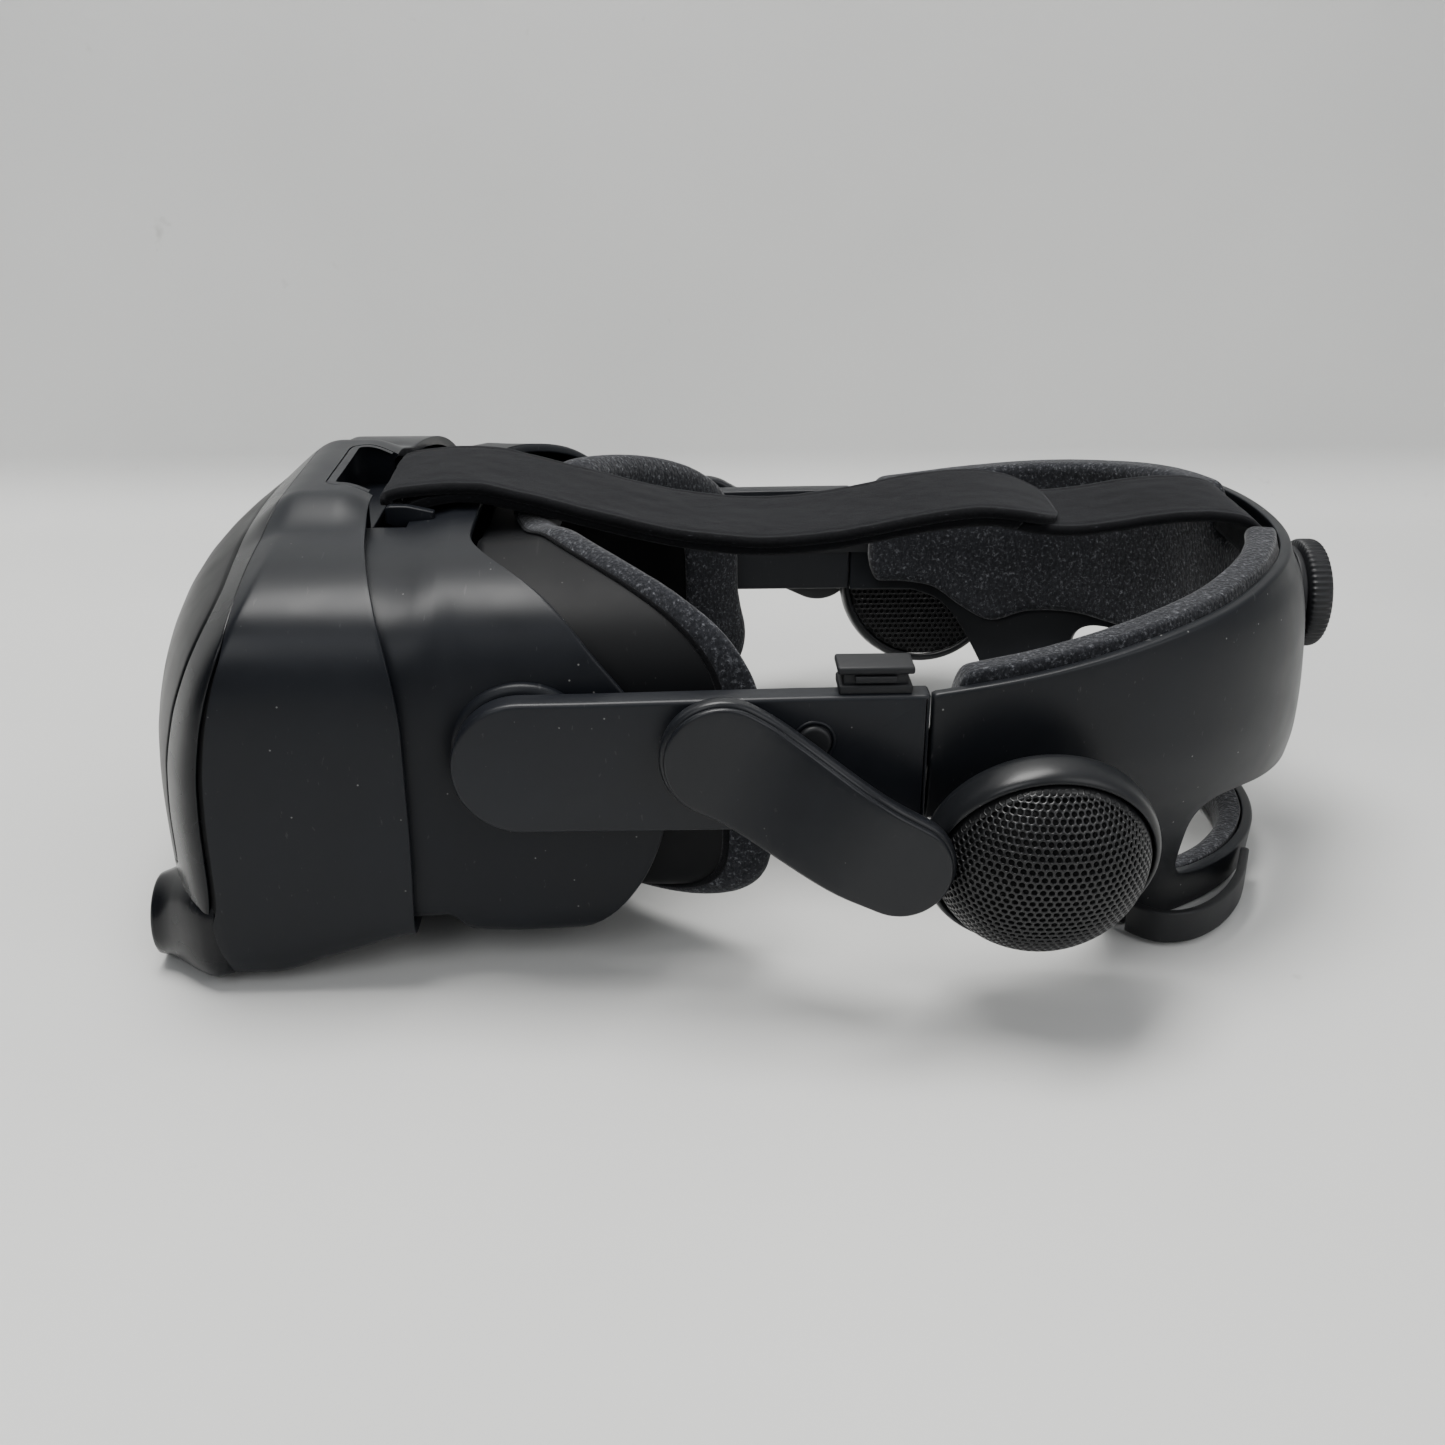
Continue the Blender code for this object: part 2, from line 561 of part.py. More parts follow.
side_view = smooth([(36.4, 78.6), (49, 80.4), (61, 82.2), (75, 84.6), (95, 88.2), (115, 91.4), (132, 94.2), (147, 95.2)], 2)
side_view = [tuple(p) for p in side_view] + [(175.0, 95.2), (175.0, 0.0), (97.0, 0.0), (91.0, 3.0), (87.0, 9.0), (83.0, 18.0), (78.0, 27.5), (73.4, 35.0), (67.0, 41.5), (58.0, 44.5), (36.4, 44.5)]
rear_cradle = finish(cradle_sheet(0.0, CR_T, (-2, 14, 30, 45, 60, 72, 85, 92, 99)), "rear_cradle", "shell", pivot=(SEAM_X, 0, 61.0))
cut(rear_cradle, prism_bm(side_view, "Y", -120, 120), "INTERSECT")
window = rounded([(103.0, 15.5), (103.5, 33.0), (112.0, 39.0), (132.0, 37.5), (175.0, 33.0), (175.0, 11.6), (132.0, 11.6), (112.0, 12.4)], [6, 8, 6, 0, 0, 0, 0, 4])
cut(rear_cradle, prism_bm(window, "Y", -120, 120))
cut(rear_cradle, cyl_bm((150.2, 0, DIAL_Z), (1, 0, 0), 3.8, 30.0, 24))

pad_view = [tuple(p) for p in smooth([(46.0, 82.4), (61, 84.6), (75, 87.0), (95, 90.6), (115, 94.0), (132, 97.0), (147, 98.0)], 2)]
pad_view += [(175.0, 98.0), (175.0, 37.0), (132.0, 41.5), (112.0, 43.5), (98.0, 42.0), (86.0, 38.0), (76.0, 42.0), (66.0, 48.0), (46.0, 49.0)]
cradle_pad = finish(cradle_sheet(CR_T + 0.5, 12.4, (30, 45, 60, 72, 85, 92, 99), x_start=44.0), "cradle_pad", "fabric", pivot=(SEAM_X, 0, 61.0))
cut(cradle_pad, prism_bm(pad_view, "Y", -120, 120), "INTERSECT")
cut(cradle_pad, prism_bm([(113.2, 97.4), (121.2, 97.0), (127.2, 95.9), (132.2, 93.4), (134.4, 90.0), (134.4, 82.5), (156.0, 82.5), (156.0, 112.0), (113.2, 112.0)], "Y", -20.6, 20.6))
cut(cradle_pad, box_bm(141.8, 156.0, -17.0, 17.0, 55.0, 90.0))
cut(cradle_pad, box_bm(40.0, 57.5, 81.7, 95.0, 56.8, 69.8))
cut(cradle_pad, box_bm(40.0, 57.5, -95.0, -81.7, 56.8, 69.8))
nape_pad = finish(cradle_sheet(CR_T + 0.5, 9.5, (1.0, 12.0), steps=20, x_min=94.0), "nape_pad", "fabric", pivot=(SEAM_X, 0, 6.0))

gear_cover = finish(box_bm(142.6, 144.0, -15.0, 15.0, 57.0, 80.0), "gear_cover", "dark")
add_bevel(gear_cover, 0.4, 1)
dial_shaft = finish(lathe_bm([(0, -6.2), (5.2, -6.2), (5.2, -4.3), (3.5, -4.3), (3.5, 2.0), (0, 2.0)], (150.6, 0, DIAL_Z), (1, 0, 0), 20), "dial_pinion", "steel", pivot=(150.6, 0, DIAL_Z))
fit_dial = finish(lathe_bm([(0, 0.0), (12.0, 0.0), (DIAL_R, 0.6), (DIAL_R, 5.4), (13.6, 6.5), (0, 6.7)], (152.9, 0, DIAL_Z), (1, 0, 0), 40), "fit_dial", "dark", pivot=(152.9, 0, DIAL_Z))

# cable loop: a thin band that stands off the left side of the nape
path = smooth([(95.4, -66.3), (102.4, -72.0), (113.5, -69.5), (124.0, -59.5), (130.9, -48.0), (134.9, -38.6)], 4)
left, right = [], []
for i, p in enumerate(path):
    d = (path[min(i + 1, len(path) - 1)] - path[max(i - 1, 0)]).normalized()
    nrm = Vector((d.y, -d.x))
    left.append(p + nrm * 1.2)
    right.append(p - nrm * 1.2)
cable_loop = finish(prism_bm([tuple(p) for p in left + right[::-1]], "Z", 0.9, 9.9), "cable_loop", "rubber")

# ---- speakers ---------------------------------------------------------------
ARM_A, ARM_RA = (-12.0, 66.0), 14.5
ARM_B, ARM_RB = (28.0, 45.0), 12.6
KNUCKLE = (36.2, 42.6)


def paddle(side, name, key, grow, mid_off, thick, pivot, steps=20):
    """A flat arm with round ends whose rear part bends outwards."""
    a, b = Vector(ARM_A), Vector(ARM_B)
    length = (b - a).length
    d = (b - a).normalized()
    nrm = Vector((-d.y, d.x))
    ra, rb = ARM_RA + grow, ARM_RB + grow
    rings = []
    for i in range(steps + 1):
        u = -math.cos(math.pi * i / steps)
        t = (u + 1) / 2 * (length + ra + rb) - ra
        t = min(max(t, -ra * 0.996), length + rb * 0.996)
        if t < 0:
            w = math.sqrt(max(ra * ra - t * t, 0.01))
        elif t > length:
            w = math.sqrt(max(rb * rb - (t - length) ** 2, 0.01))
        else:
            w = ra + (rb - ra) * t / length
        k = min(1.0, max(0.0, (t - 2.0) / (length - 8.0)))
        k = k * k * (3 - 2 * k)
        y = 94.9 + 13.8 * k + mid_off
        h = thick / 2
        c = min(0.5, w * 0.4)
        ring = []
        for v, off in ((-w, -h + c), (-w, h - c), (-w + c, h), (0, h), (w - c, h), (w, h - c), (w, -h + c), (w - c, -h), (0, -h), (-w + c, -h)):
            p = a + d * t + nrm * v
            ring.append(Vector((p.x, side * (y + off), p.y)))
        rings.append(ring)
    return finish(loft(rings), name, key, pivot=pivot)


for side, tag in ((-1, "left"), (1, "right")):
    pivot = (ARM_A[0], side * 91.0, ARM_A[1])
    base = paddle(side, tag + "_speaker_arm", "shell", 0.0, 0.0, 4.4, pivot)
    cut(base, cyl_bm((ARM_A[0], side * 91.6, ARM_A[1]), (0, side, 0), 9.0, 2.4, 28), "UNION")
    paddle(side, tag + "_speaker_arm_cap", "shell", -1.2, 3.2, 1.3, pivot)
    arm = bpy.data.objects[tag + "_arm"]
    kn = (KNUCKLE[0], side * 105.4, KNUCKLE[1])
    finish(cyl_bm(kn, (0, side, 0), 4.4, 1.5, 24), tag + "_knuckle", "dark", pivot=kn)
    tilt = math.radians(SPK_TILT)
    axis = (0, side * math.cos(tilt), -math.sin(tilt))
    c = Vector((62.0, side * 100.6, 43.6))
    ring = finish(lathe_bm([(22.6, -7.0), (24.6, -8.0), (26.0, -6.0), (26.4, -1.0), (26.0, 1.6), (24.4, 2.4), (22.6, 2.0)], c, axis, 32), tag + "_speaker_ring", "shell", pivot=kn)
    dome_pts = [(22.2, 0.6), (22.2, 2.0), (20.0, 5.6), (16.0, 9.4), (11.0, 12.3), (5.5, 13.9), (0, 14.4)]
    dome_in = [(0, 13.4), (5.3, 12.9), (10.6, 11.4), (15.3, 8.6), (19.1, 5.0), (20.9, 1.8), (20.9, 0.6)]
    finish(lathe_bm(dome_in + dome_pts, c, axis, 24), tag + "_outer_grille", "mesh", pivot=kn)
    finish(lathe_bm([(0, -4.6), (20.6, -4.6), (20.6, -0.6), (0, -0.6)], c, axis, 24), tag + "_driver", "dark", pivot=kn)
    finish(lathe_bm([(0, -7.6), (21.0, -7.2), (22.2, -6.2), (22.2, -5.4), (0, -5.4)], c, axis, 24), tag + "_inner_grille", "mesh", pivot=kn)

# ---- pivots -----------------------------------------------------------------
px, pz = PIVOT
finish(lathe_bm([(0, -4.8), (6.4, -4.8), (6.4, -2.8), (4.2, -2.8), (4.2, 5.4), (0, 5.4)], (px, -81.0 + 0.0, pz), (0, -1, 0), 20), "left_pivot_screw", "steel", pivot=(px, -81.0, pz))
finish(lathe_bm([(0, -4.8), (6.4, -4.8), (6.4, -2.8), (4.2, -2.8), (4.2, 9.2), (0, 9.2)], (px, 81.0, pz), (0, 1, 0), 20), "eye_relief_pinion", "steel", pivot=(px, 81.0, pz))
finish(lathe_bm([(0, 0.0), (10.2, 0.0), (11.0, 0.8), (11.0, 4.0), (10.0, 5.0), (0, 5.0)], (px, 90.6, pz), (0, 1, 0), 36), "eye_relief_knob", "dark", pivot=(px, 90.6, pz))

# ---- optics and electronics -------------------------------------------------
LENS_Y, LENS_Z = 32.0, 52.0
chassis = finish(box_bm(-111.0, -108.6, -72.0, 72.0, 21.6, 86.0), "optics_chassis", "dark")
add_bevel(chassis, 6.0, 2, 80)
for side, tag in ((-1, "left"), (1, "right")):
    c = (-100.0, side * LENS_Y, LENS_Z)
    cut(chassis, cyl_bm((-110.0, side * LENS_Y, LENS_Z), (1, 0, 0), 29.6, 10, 36))
    finish(lathe_bm([(26.6, -13.0), (26.6, -8.0), (23.4, 15.0), (21.6, 15.0), (21.6, 11.8), (23.6, -13.0)], c, (1, 0, 0), 28), tag + "_lens_barrel", "dark", pivot=c)
    finish(lathe_bm([(0, 7.0), (12.0, 8.0), (21.2, 11.0), (21.2, 12.6), (12.0, 15.6), (0, 17.0)], c, (1, 0, 0), 24), tag + "_lens", "lens", pivot=c)
    finish(box_bm(-116.6, -113.6, side * LENS_Y - 26.0, side * LENS_Y + 26.0, 26.0, 78.0), tag + "_display", "gloss", pivot=c)
finish(box_bm(-124.6, -123.0, -58.0, 58.0, 22.0, 82.0), "main_board", "pcb")
finish(box_bm(-121.6, -119.6, -58.0, 58.0, 22.0, 84.0), "heat_spreader", "alu")
finish(cyl_bm((-105.4, 0, 19.0), (0, 1, 0), 1.5, 148.0, 12), "ipd_rail", "steel")
tray = finish(box_bm(-145.0, -127.4, -28.0, 28.0, 36.0, 67.0), "frunk_tray", "dark")
cut(tray, box_bm(-160.0, -129.2, -26.4, 26.4, 37.6, 65.4))
usb = finish(box_bm(-142.0, -129.6, -7.6, 7.6, 48.0, 55.6), "usb_socket", "alu")
cut(usb, box_bm(-150.0, -131.4, -6.4, 6.4, 49.2, 54.4))
ipd_slider = finish(box_bm(-115.6, -108.4, -38.0, -30.0, 3.2, 11.0), "ipd_slider", "dark")
add_bevel(ipd_slider, 0.6, 1)
finish(cyl_bm((-112, 46, 7.4), (0, 0, 1), 5.0, 6.4, 24), "system_button", "dark", pivot=(-112, 46, 7.4))

# ---- top strap --------------------------------------------------------------


def band(path_top, path_low, half, name, key):
    """Closed band: the upper and lower XZ paths, with rounded long edges."""
    rings = []
    for t, l in zip(path_top, path_low):
        m = (Vector(t) + Vector(l)) / 2
        ring = []
        for y, k in ((-half + 0.8, 1), (half - 0.8, 1), (half, 0.45), (half, -0.45), (half - 0.8, -1), (-half + 0.8, -1), (-half, -0.45), (-half, 0.45)):
            p = m + (Vector(t) - m) * k
            ring.append((p.x, y, p.y))
        rings.append(ring)
    return finish(loft(rings, fan=False), name, key)


def along(points, thick, per=3):
    """Upper and lower paths of a band of this thickness under these top points (x, z[, thickness])."""
    top = smooth([(p[0], p[1]) for p in points], per)
    th = np.interp([p.x for p in top], [p[0] for p in points], [p[2] if len(p) > 2 else thick for p in points])
    low = []
    for i, p in enumerate(top):
        d = (top[min(i + 1, len(top) - 1)] - top[max(i - 1, 0)]).normalized()
        low.append(p + Vector((d.y, -d.x)) * float(th[i]))
    return top, low


top, low = along([(-98.2, 107.8, 2.0), (-91.0, 109.4, 3.6), (-80.0, 110.2, 4.8), (-66.0, 108.6), (-50.0, 104.4), (-32.0, 99.6), (-15.0, 96.2), (0.0, 94.8), (15.0, 95.6), (30.0, 98.0), (46.0, 101.0), (60.0, 102.4), (72.0, 101.0), (80.6, 98.4)], 5.0)
top_strap_front = band(top, low, 21.0, "top_strap_front", "strap")
top, low = along([(81.4, 96.4), (93.0, 97.6), (105.0, 99.2), (116.0, 100.2), (126.4, 99.6), (134.2, 97.0)], 2.4)
top, low = list(top), list(low)
top = top[:-1] + [Vector((134.6, 95.6)), Vector((136.8, 92.6)), Vector((137.4, 84.0))]
low = low[:-1] + [Vector((133.2, 93.9)), Vector((134.8, 91.4)), Vector((135.2, 84.0))]
top_strap_rear = band(top, low, 19.5, "top_strap_rear", "strap")
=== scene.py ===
import math

import bmesh
import bpy
import numpy as np
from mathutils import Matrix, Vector, noise
from mathutils.geometry import delaunay_2d_cdt


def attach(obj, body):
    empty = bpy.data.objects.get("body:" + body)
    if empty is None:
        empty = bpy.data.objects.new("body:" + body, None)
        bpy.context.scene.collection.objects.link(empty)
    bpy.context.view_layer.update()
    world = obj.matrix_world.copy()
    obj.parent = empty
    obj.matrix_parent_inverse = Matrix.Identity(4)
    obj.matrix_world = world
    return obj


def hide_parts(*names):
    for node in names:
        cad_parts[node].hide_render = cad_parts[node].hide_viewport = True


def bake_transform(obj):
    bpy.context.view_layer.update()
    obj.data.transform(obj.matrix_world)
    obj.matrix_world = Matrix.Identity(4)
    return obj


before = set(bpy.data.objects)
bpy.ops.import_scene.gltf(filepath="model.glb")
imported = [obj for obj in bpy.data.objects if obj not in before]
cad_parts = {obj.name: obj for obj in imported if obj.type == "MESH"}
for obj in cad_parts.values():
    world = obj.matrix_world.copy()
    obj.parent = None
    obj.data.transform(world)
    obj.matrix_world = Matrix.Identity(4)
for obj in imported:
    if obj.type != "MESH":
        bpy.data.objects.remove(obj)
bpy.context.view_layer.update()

MM = 0.001
SHIFT = 0.8       # the numbers below are millimetres, 0.8 mm in front of the frame's own
COL = bpy.data.collections.new("looks")
bpy.context.scene.collection.children.link(COL)


# ---------------------------------------------------------------- materials
class Nodes:
    """A small helper for building a node material."""

    def __init__(self, name):
        self.mat = bpy.data.materials.new(name)
        self.mat.use_nodes = True
        self.tree = self.mat.node_tree
        self.bsdf = self.tree.nodes["Principled BSDF"]
        self.coord = self.tree.nodes.new("ShaderNodeTexCoord").outputs["Object"]

    def new(self, kind, **props):
        node = self.tree.nodes.new(kind)
        for k, v in props.items():
            setattr(node, k, v)
        return node

    def link(self, a, b):
        self.tree.links.new(a, b)

    def noise(self, scale, detail=2.0, rough=0.5, vec=None):
        n = self.new("ShaderNodeTexNoise")
        n.inputs["Scale"].default_value = scale
        n.inputs["Detail"].default_value = detail
        n.inputs["Roughness"].default_value = rough
        self.link(vec or self.coord, n.inputs["Vector"])
        return n.outputs["Fac"]

    def voronoi(self, scale, feature="F1", vec=None, out="Distance"):
        n = self.new("ShaderNodeTexVoronoi", feature=feature)
        n.inputs["Scale"].default_value = scale
        self.link(vec or self.coord, n.inputs["Vector"])
        return n.outputs[out]

    def ramp(self, value, *stops):
        n = self.new("ShaderNodeValToRGB")
        e = n.color_ramp.elements
        while len(e) < len(stops):
            e.new(0.5)
        for item, (pos, colour) in zip(e, stops):
            item.position = pos
            item.color = (*colour, 1.0) if isinstance(colour, tuple) else (colour, colour, colour, 1.0)
        self.link(value, n.inputs["Fac"])
        return n.outputs["Color"]

    def range(self, value, a, b, c, d):
        n = self.new("ShaderNodeMapRange")
        for k, v in zip(("From Min", "From Max", "To Min", "To Max"), (a, b, c, d)):
            n.inputs[k].default_value = v
        self.link(value, n.inputs["Value"])
        return n.outputs["Result"]

    def math(self, op, a, b=None):
        n = self.new("ShaderNodeMath", operation=op)
        for i, v in enumerate((a, b)):
            if v is None:
                continue
            if isinstance(v, (int, float)):
                n.inputs[i].default_value = v
            else:
                self.link(v, n.inputs[i])
        return n.outputs[0]

    def mix(self, fac, a, b, mode="MIX"):
        n = self.new("ShaderNodeMix", data_type="RGBA", blend_type=mode)
        for key, v in ((0, fac), (6, a), (7, b)):
            if isinstance(v, (int, float)):
                n.inputs[key].default_value = v
            elif isinstance(v, tuple):
                n.inputs[key].default_value = (*v, 1.0)
            else:
                self.link(v, n.inputs[key])
        return n.outputs[2]

    def scaled(self, x, y, z, rot=(0, 0, 0)):
        n = self.new("ShaderNodeMapping")
        n.inputs["Scale"].default_value = (x, y, z)
        n.inputs["Rotation"].default_value = rot
        self.link(self.coord, n.inputs["Vector"])
        return n.outputs["Vector"]

    def bump(self, height, strength, distance, under=None):
        n = self.new("ShaderNodeBump")
        n.inputs["Strength"].default_value = strength
        n.inputs["Distance"].default_value = distance
        self.link(height, n.inputs["Height"])
        if under is not None:
            self.link(under, n.inputs["Normal"])
        return n.outputs["Normal"]


def plastic(name, colour, rough, dust=0.5, coat=0.0, spec=0.3, grain=1.0, wear=0.0, metal=0.0):
    """Moulded plastic: a fine moulded grain, soft blotches where hands touched it, hairline scratches and a few dust specks."""
    m = Nodes(name)
    b = m.bsdf
    b.inputs["Metallic"].default_value = metal
    b.inputs["Specular IOR Level"].default_value = spec
    b.inputs["Coat Weight"].default_value = coat
    b.inputs["Coat Roughness"].default_value = 0.18
    blotch = m.noise(38.0, 3.0, 0.6)
    fine = m.noise(2600.0, 2.0, 0.5)
    scratch = m.noise(900.0, 2.0, 0.55, m.scaled(1.0, 0.05, 0.4, (0.3, 0.5, 0.9)))
    hair = m.range(scratch, 0.715, 0.75, 0.0, 1.0)
    speck = m.voronoi(330.0)
    pick = m.noise(160.0, 1.0)
    specks = m.math("MULTIPLY", m.range(speck, 0.055, 0.085, 1.0, 0.0), m.range(pick, 0.58, 0.62, 0.0, 1.0))
    base = m.mix(m.range(blotch, 0.35, 0.7, 0.0, 1.0), tuple(c * 0.88 for c in colour), tuple(min(1, c * 1.14) for c in colour))
    base = m.mix(m.math("MULTIPLY", specks, 0.55 * dust), base, (0.30, 0.30, 0.29))
    base = m.mix(m.math("MULTIPLY", hair, 0.10 * dust), base, (0.16, 0.16, 0.16))
    if wear:
        geo = m.new("ShaderNodeNewGeometry").outputs["Pointiness"]
        edge = m.math("MULTIPLY", m.range(geo, 0.56, 0.66, 0.0, 1.0), m.range(m.noise(240.0, 4.0, 0.7), 0.52, 0.66, 0.0, 1.0))
        base = m.mix(m.math("MULTIPLY", edge, wear), base, (0.22, 0.22, 0.215))
    m.link(base, b.inputs["Base Color"])
    r = m.range(blotch, 0.3, 0.72, rough - 0.05, rough + 0.06)
    r = m.math("ADD", r, m.math("MULTIPLY", specks, 0.3))
    m.link(r, b.inputs["Roughness"])
    n = m.bump(fine, 0.10 * grain, 0.00008)
    n = m.bump(blotch, 0.04, 0.0006, n)
    m.link(n, b.inputs["Normal"])
    return m.mat


def brushed(name, colour, rough, metal=1.0):
    m = Nodes(name)
    b = m.bsdf
    b.inputs["Metallic"].default_value = metal
    streak = m.noise(1800.0, 2.0, 0.5, m.scaled(0.03, 1.0, 1.0))
    m.link(m.mix(m.range(streak, 0.3, 0.7, 0.0, 1.0), tuple(c * 0.85 for c in colour), colour), b.inputs["Base Color"])
    m.link(m.range(streak, 0.3, 0.7, rough - 0.05, rough + 0.08), b.inputs["Roughness"])
    m.link(m.bump(streak, 0.12, 0.00005), b.inputs["Normal"])
    return m.mat


def knit(name):
    """Heather knit over foam: a fine rib of loops, light and dark fibres mixed, and painted shade darkening the gaps
    between the loops.
    """
    m = Nodes(name)
    b = m.bsdf
    b.inputs["Sheen Weight"].default_value = 0.15
    b.inputs["Sheen Roughness"].default_value = 0.5
    b.inputs["Specular IOR Level"].default_value = 0.15
    b.inputs["Roughness"].default_value = 0.95
    warp = m.noise(700.0, 3.0, 0.7)
    loops = m.voronoi(1050.0, vec=m.scaled(1.0, 1.0, 0.62))
    fibre = m.noise(2100.0, 3.0, 0.75, m.scaled(1.0, 1.0, 0.35, (0.4, 0.2, 0.0)))
    fleck = m.noise(950.0, 4.0, 0.8)
    dark, mid, light = (0.0068, 0.0074, 0.0096), (0.023, 0.0245, 0.0295), (0.155, 0.16, 0.175)
    base = m.mix(m.range(fibre, 0.38, 0.62, 0.0, 1.0), dark, mid)
    base = m.mix(m.math("MULTIPLY", m.range(fleck, 0.53, 0.64, 0.0, 1.0), m.range(warp, 0.35, 0.6, 0.2, 0.9)), base, light)
    # painted shade: the colour goes darker towards each loop's edge, where the bump sinks between the loops
    base = m.mix(m.range(loops, 0.25, 0.75, 0.0, 0.55), base, dark)
    m.link(base, b.inputs["Base Color"])
    n = m.bump(m.math("SUBTRACT", 1.0, loops), 0.55, 0.00035)
    n = m.bump(fibre, 0.4, 0.0002, n)
    m.link(n, b.inputs["Normal"])
    return m.mat


def felt(name, colour=(0.0036, 0.0037, 0.0043)):
    """Brushed loop fabric: a short nap with paler stray fibres."""
    m = Nodes(name)
    b = m.bsdf
    b.inputs["Sheen Weight"].default_value = 0.16
    b.inputs["Sheen Roughness"].default_value = 0.45
    b.inputs["Sheen Tint"].default_value = (0.5, 0.51, 0.54, 1.0)
    b.inputs["Specular IOR Level"].default_value = 0.1
    b.inputs["Roughness"].default_value = 1.0
    nap = m.noise(1500.0, 4.0, 0.8)
    stray = m.noise(1300.0, 4.0, 0.7, m.scaled(0.25, 1.0, 1.0, (0.0, 0.3, 0.6)))
    cloud = m.noise(60.0, 2.0, 0.5)
    base = m.mix(m.range(nap, 0.35, 0.65, 0.0, 1.0), tuple(c * 0.6 for c in colour), tuple(c * 1.7 for c in colour))
    base = m.mix(m.math("MULTIPLY", m.range(stray, 0.66, 0.72, 0.0, 1.0), 0.5), base, (0.085, 0.088, 0.10))
    base = m.mix(m.range(cloud, 0.4, 0.65, 0.0, 0.35), base, tuple(c * 1.8 for c in colour))
    m.link(base, b.inputs["Base Color"])
    n = m.bump(nap, 0.7, 0.00035)
    n = m.bump(stray, 0.3, 0.0003, n)
    m.link(n, b.inputs["Normal"])
    return m.mat


def glassy(name, colour, rough, alpha=None):
    m = Nodes(name)
    b = m.bsdf
    smear = m.noise(70.0, 3.0, 0.6)
    b.inputs["IOR"].default_value = 1.5
    if alpha is not None:
        b.inputs["Transmission Weight"].default_value = alpha
    m.link(m.mix(m.range(smear, 0.4, 0.7, 0.0, 1.0), colour, tuple(min(1.0, c * 1.08) for c in colour)), b.inputs["Base Color"])
    m.link(m.range(smear, 0.4, 0.7, rough, rough + 0.05), b.inputs["Roughness"])
    return m.mat


def board(name):
    m = Nodes(name)
    b = m.bsdf
    b.inputs["Roughness"].default_value = 0.4
    cells = m.voronoi(260.0, out="Color")
    tracks = m.noise(500.0, 1.0, 0.5, m.scaled(1.0, 0.2, 1.0))
    m.link(m.mix(m.range(tracks, 0.52, 0.56, 0.0, 1.0), (0.006, 0.032, 0.016), (0.012, 0.07, 0.032)), b.inputs["Base Color"])
    m.link(m.bump(cells, 0.2, 0.0003), b.inputs["Normal"])
    return m.mat


M = {
    "shell": plastic("shell_satin", (0.0058, 0.0069, 0.0094), 0.36, dust=0.9, spec=0.22),
    "arm": plastic("arm_satin", (0.0072, 0.0083, 0.0110), 0.37, dust=0.9, spec=0.27),
    "rear": plastic("rear_satin", (0.0050, 0.0060, 0.0084), 0.40, dust=0.9, spec=0.2),
    "cradle": plastic("cradle_satin", (0.0072, 0.0082, 0.0104), 0.39, dust=1.3, wear=0.7, spec=0.24),
    "paddle": plastic("paddle_satin", (0.0078, 0.0087, 0.0108), 0.33, dust=0.6),
    "bezel": plastic("bezel_gloss", (0.0045, 0.0050, 0.0063), 0.27, dust=0.5, coat=0.05, spec=0.25),
    "cover": plastic("cover_gloss", (0.0060, 0.0063, 0.0070), 0.34, dust=0.3, coat=0.0, spec=0.1),
    "gloss": plastic("gloss_black", (0.0040, 0.0042, 0.0050), 0.10, dust=0.2, coat=0.6),
    "dark": plastic("matt_black", (0.0085, 0.0090, 0.0105), 0.5, dust=0.3),
    "dial": plastic("dial_black", (0.0100, 0.0105, 0.0120), 0.42, dust=0.3),
    "ring": plastic("ring_satin", (0.0085, 0.0092, 0.0106), 0.33, dust=0.4),
    "grille": plastic("grille_black", (0.0080, 0.0082, 0.0090), 0.30, dust=0.2, metal=0.3, spec=0.6),
    "flange": plastic("flange_black", (0.0030, 0.0033, 0.0041), 0.55, dust=0.4, spec=0.14),
    "inside": plastic("inside_black", (0.0040, 0.0042, 0.0048), 0.7, dust=0.0),
    "rubber": plastic("rubber_black", (0.0120, 0.0125, 0.0140), 0.52, dust=0.5),
    "steel": brushed("steel_turned", (0.52, 0.52, 0.53), 0.28),
    "alu": brushed("aluminium_stamped", (0.58, 0.58, 0.60), 0.34),
    "knit": knit("heather_knit"),
    "felt": felt("felt_black"),
    "felt2": felt("felt_under", (0.0030, 0.0031, 0.0037)),
    "lens": glassy("lens_clear", (0.78, 0.82, 0.84), 0.02, 0.85),
    "display": glassy("display_black", (0.004, 0.004, 0.005), 0.06),
    "window": glassy("window_black", (0.0045, 0.0048, 0.0062), 0.05),
    "pcb": board("board_green"),
}


# ---------------------------------------------------------------- mesh helpers
def make(bm, name, mat, body=None, nodes=(), smooth=True, angle=None):
    bmesh.ops.recalc_face_normals(bm, faces=bm.faces[:])
    if bm.calc_volume(signed=True) < 0:
        bmesh.ops.reverse_faces(bm, faces=bm.faces[:])
    for v in bm.verts:
        v.co = Vector(((v.co.x + SHIFT) * MM, v.co.y * MM, v.co.z * MM))
    me = bpy.data.meshes.new(name)
    bm.to_mesh(me)
    bm.free()
    if smooth:
        me.shade_smooth()
    if angle is not None:
        me.set_sharp_from_angle(angle=math.radians(angle))
    obj = bpy.data.objects.new(name, me)
    COL.objects.link(obj)
    me.materials.append(M[mat] if isinstance(mat, str) else mat)
    if nodes:
        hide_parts(*nodes)
    if body:
        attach(obj, body)
    return obj


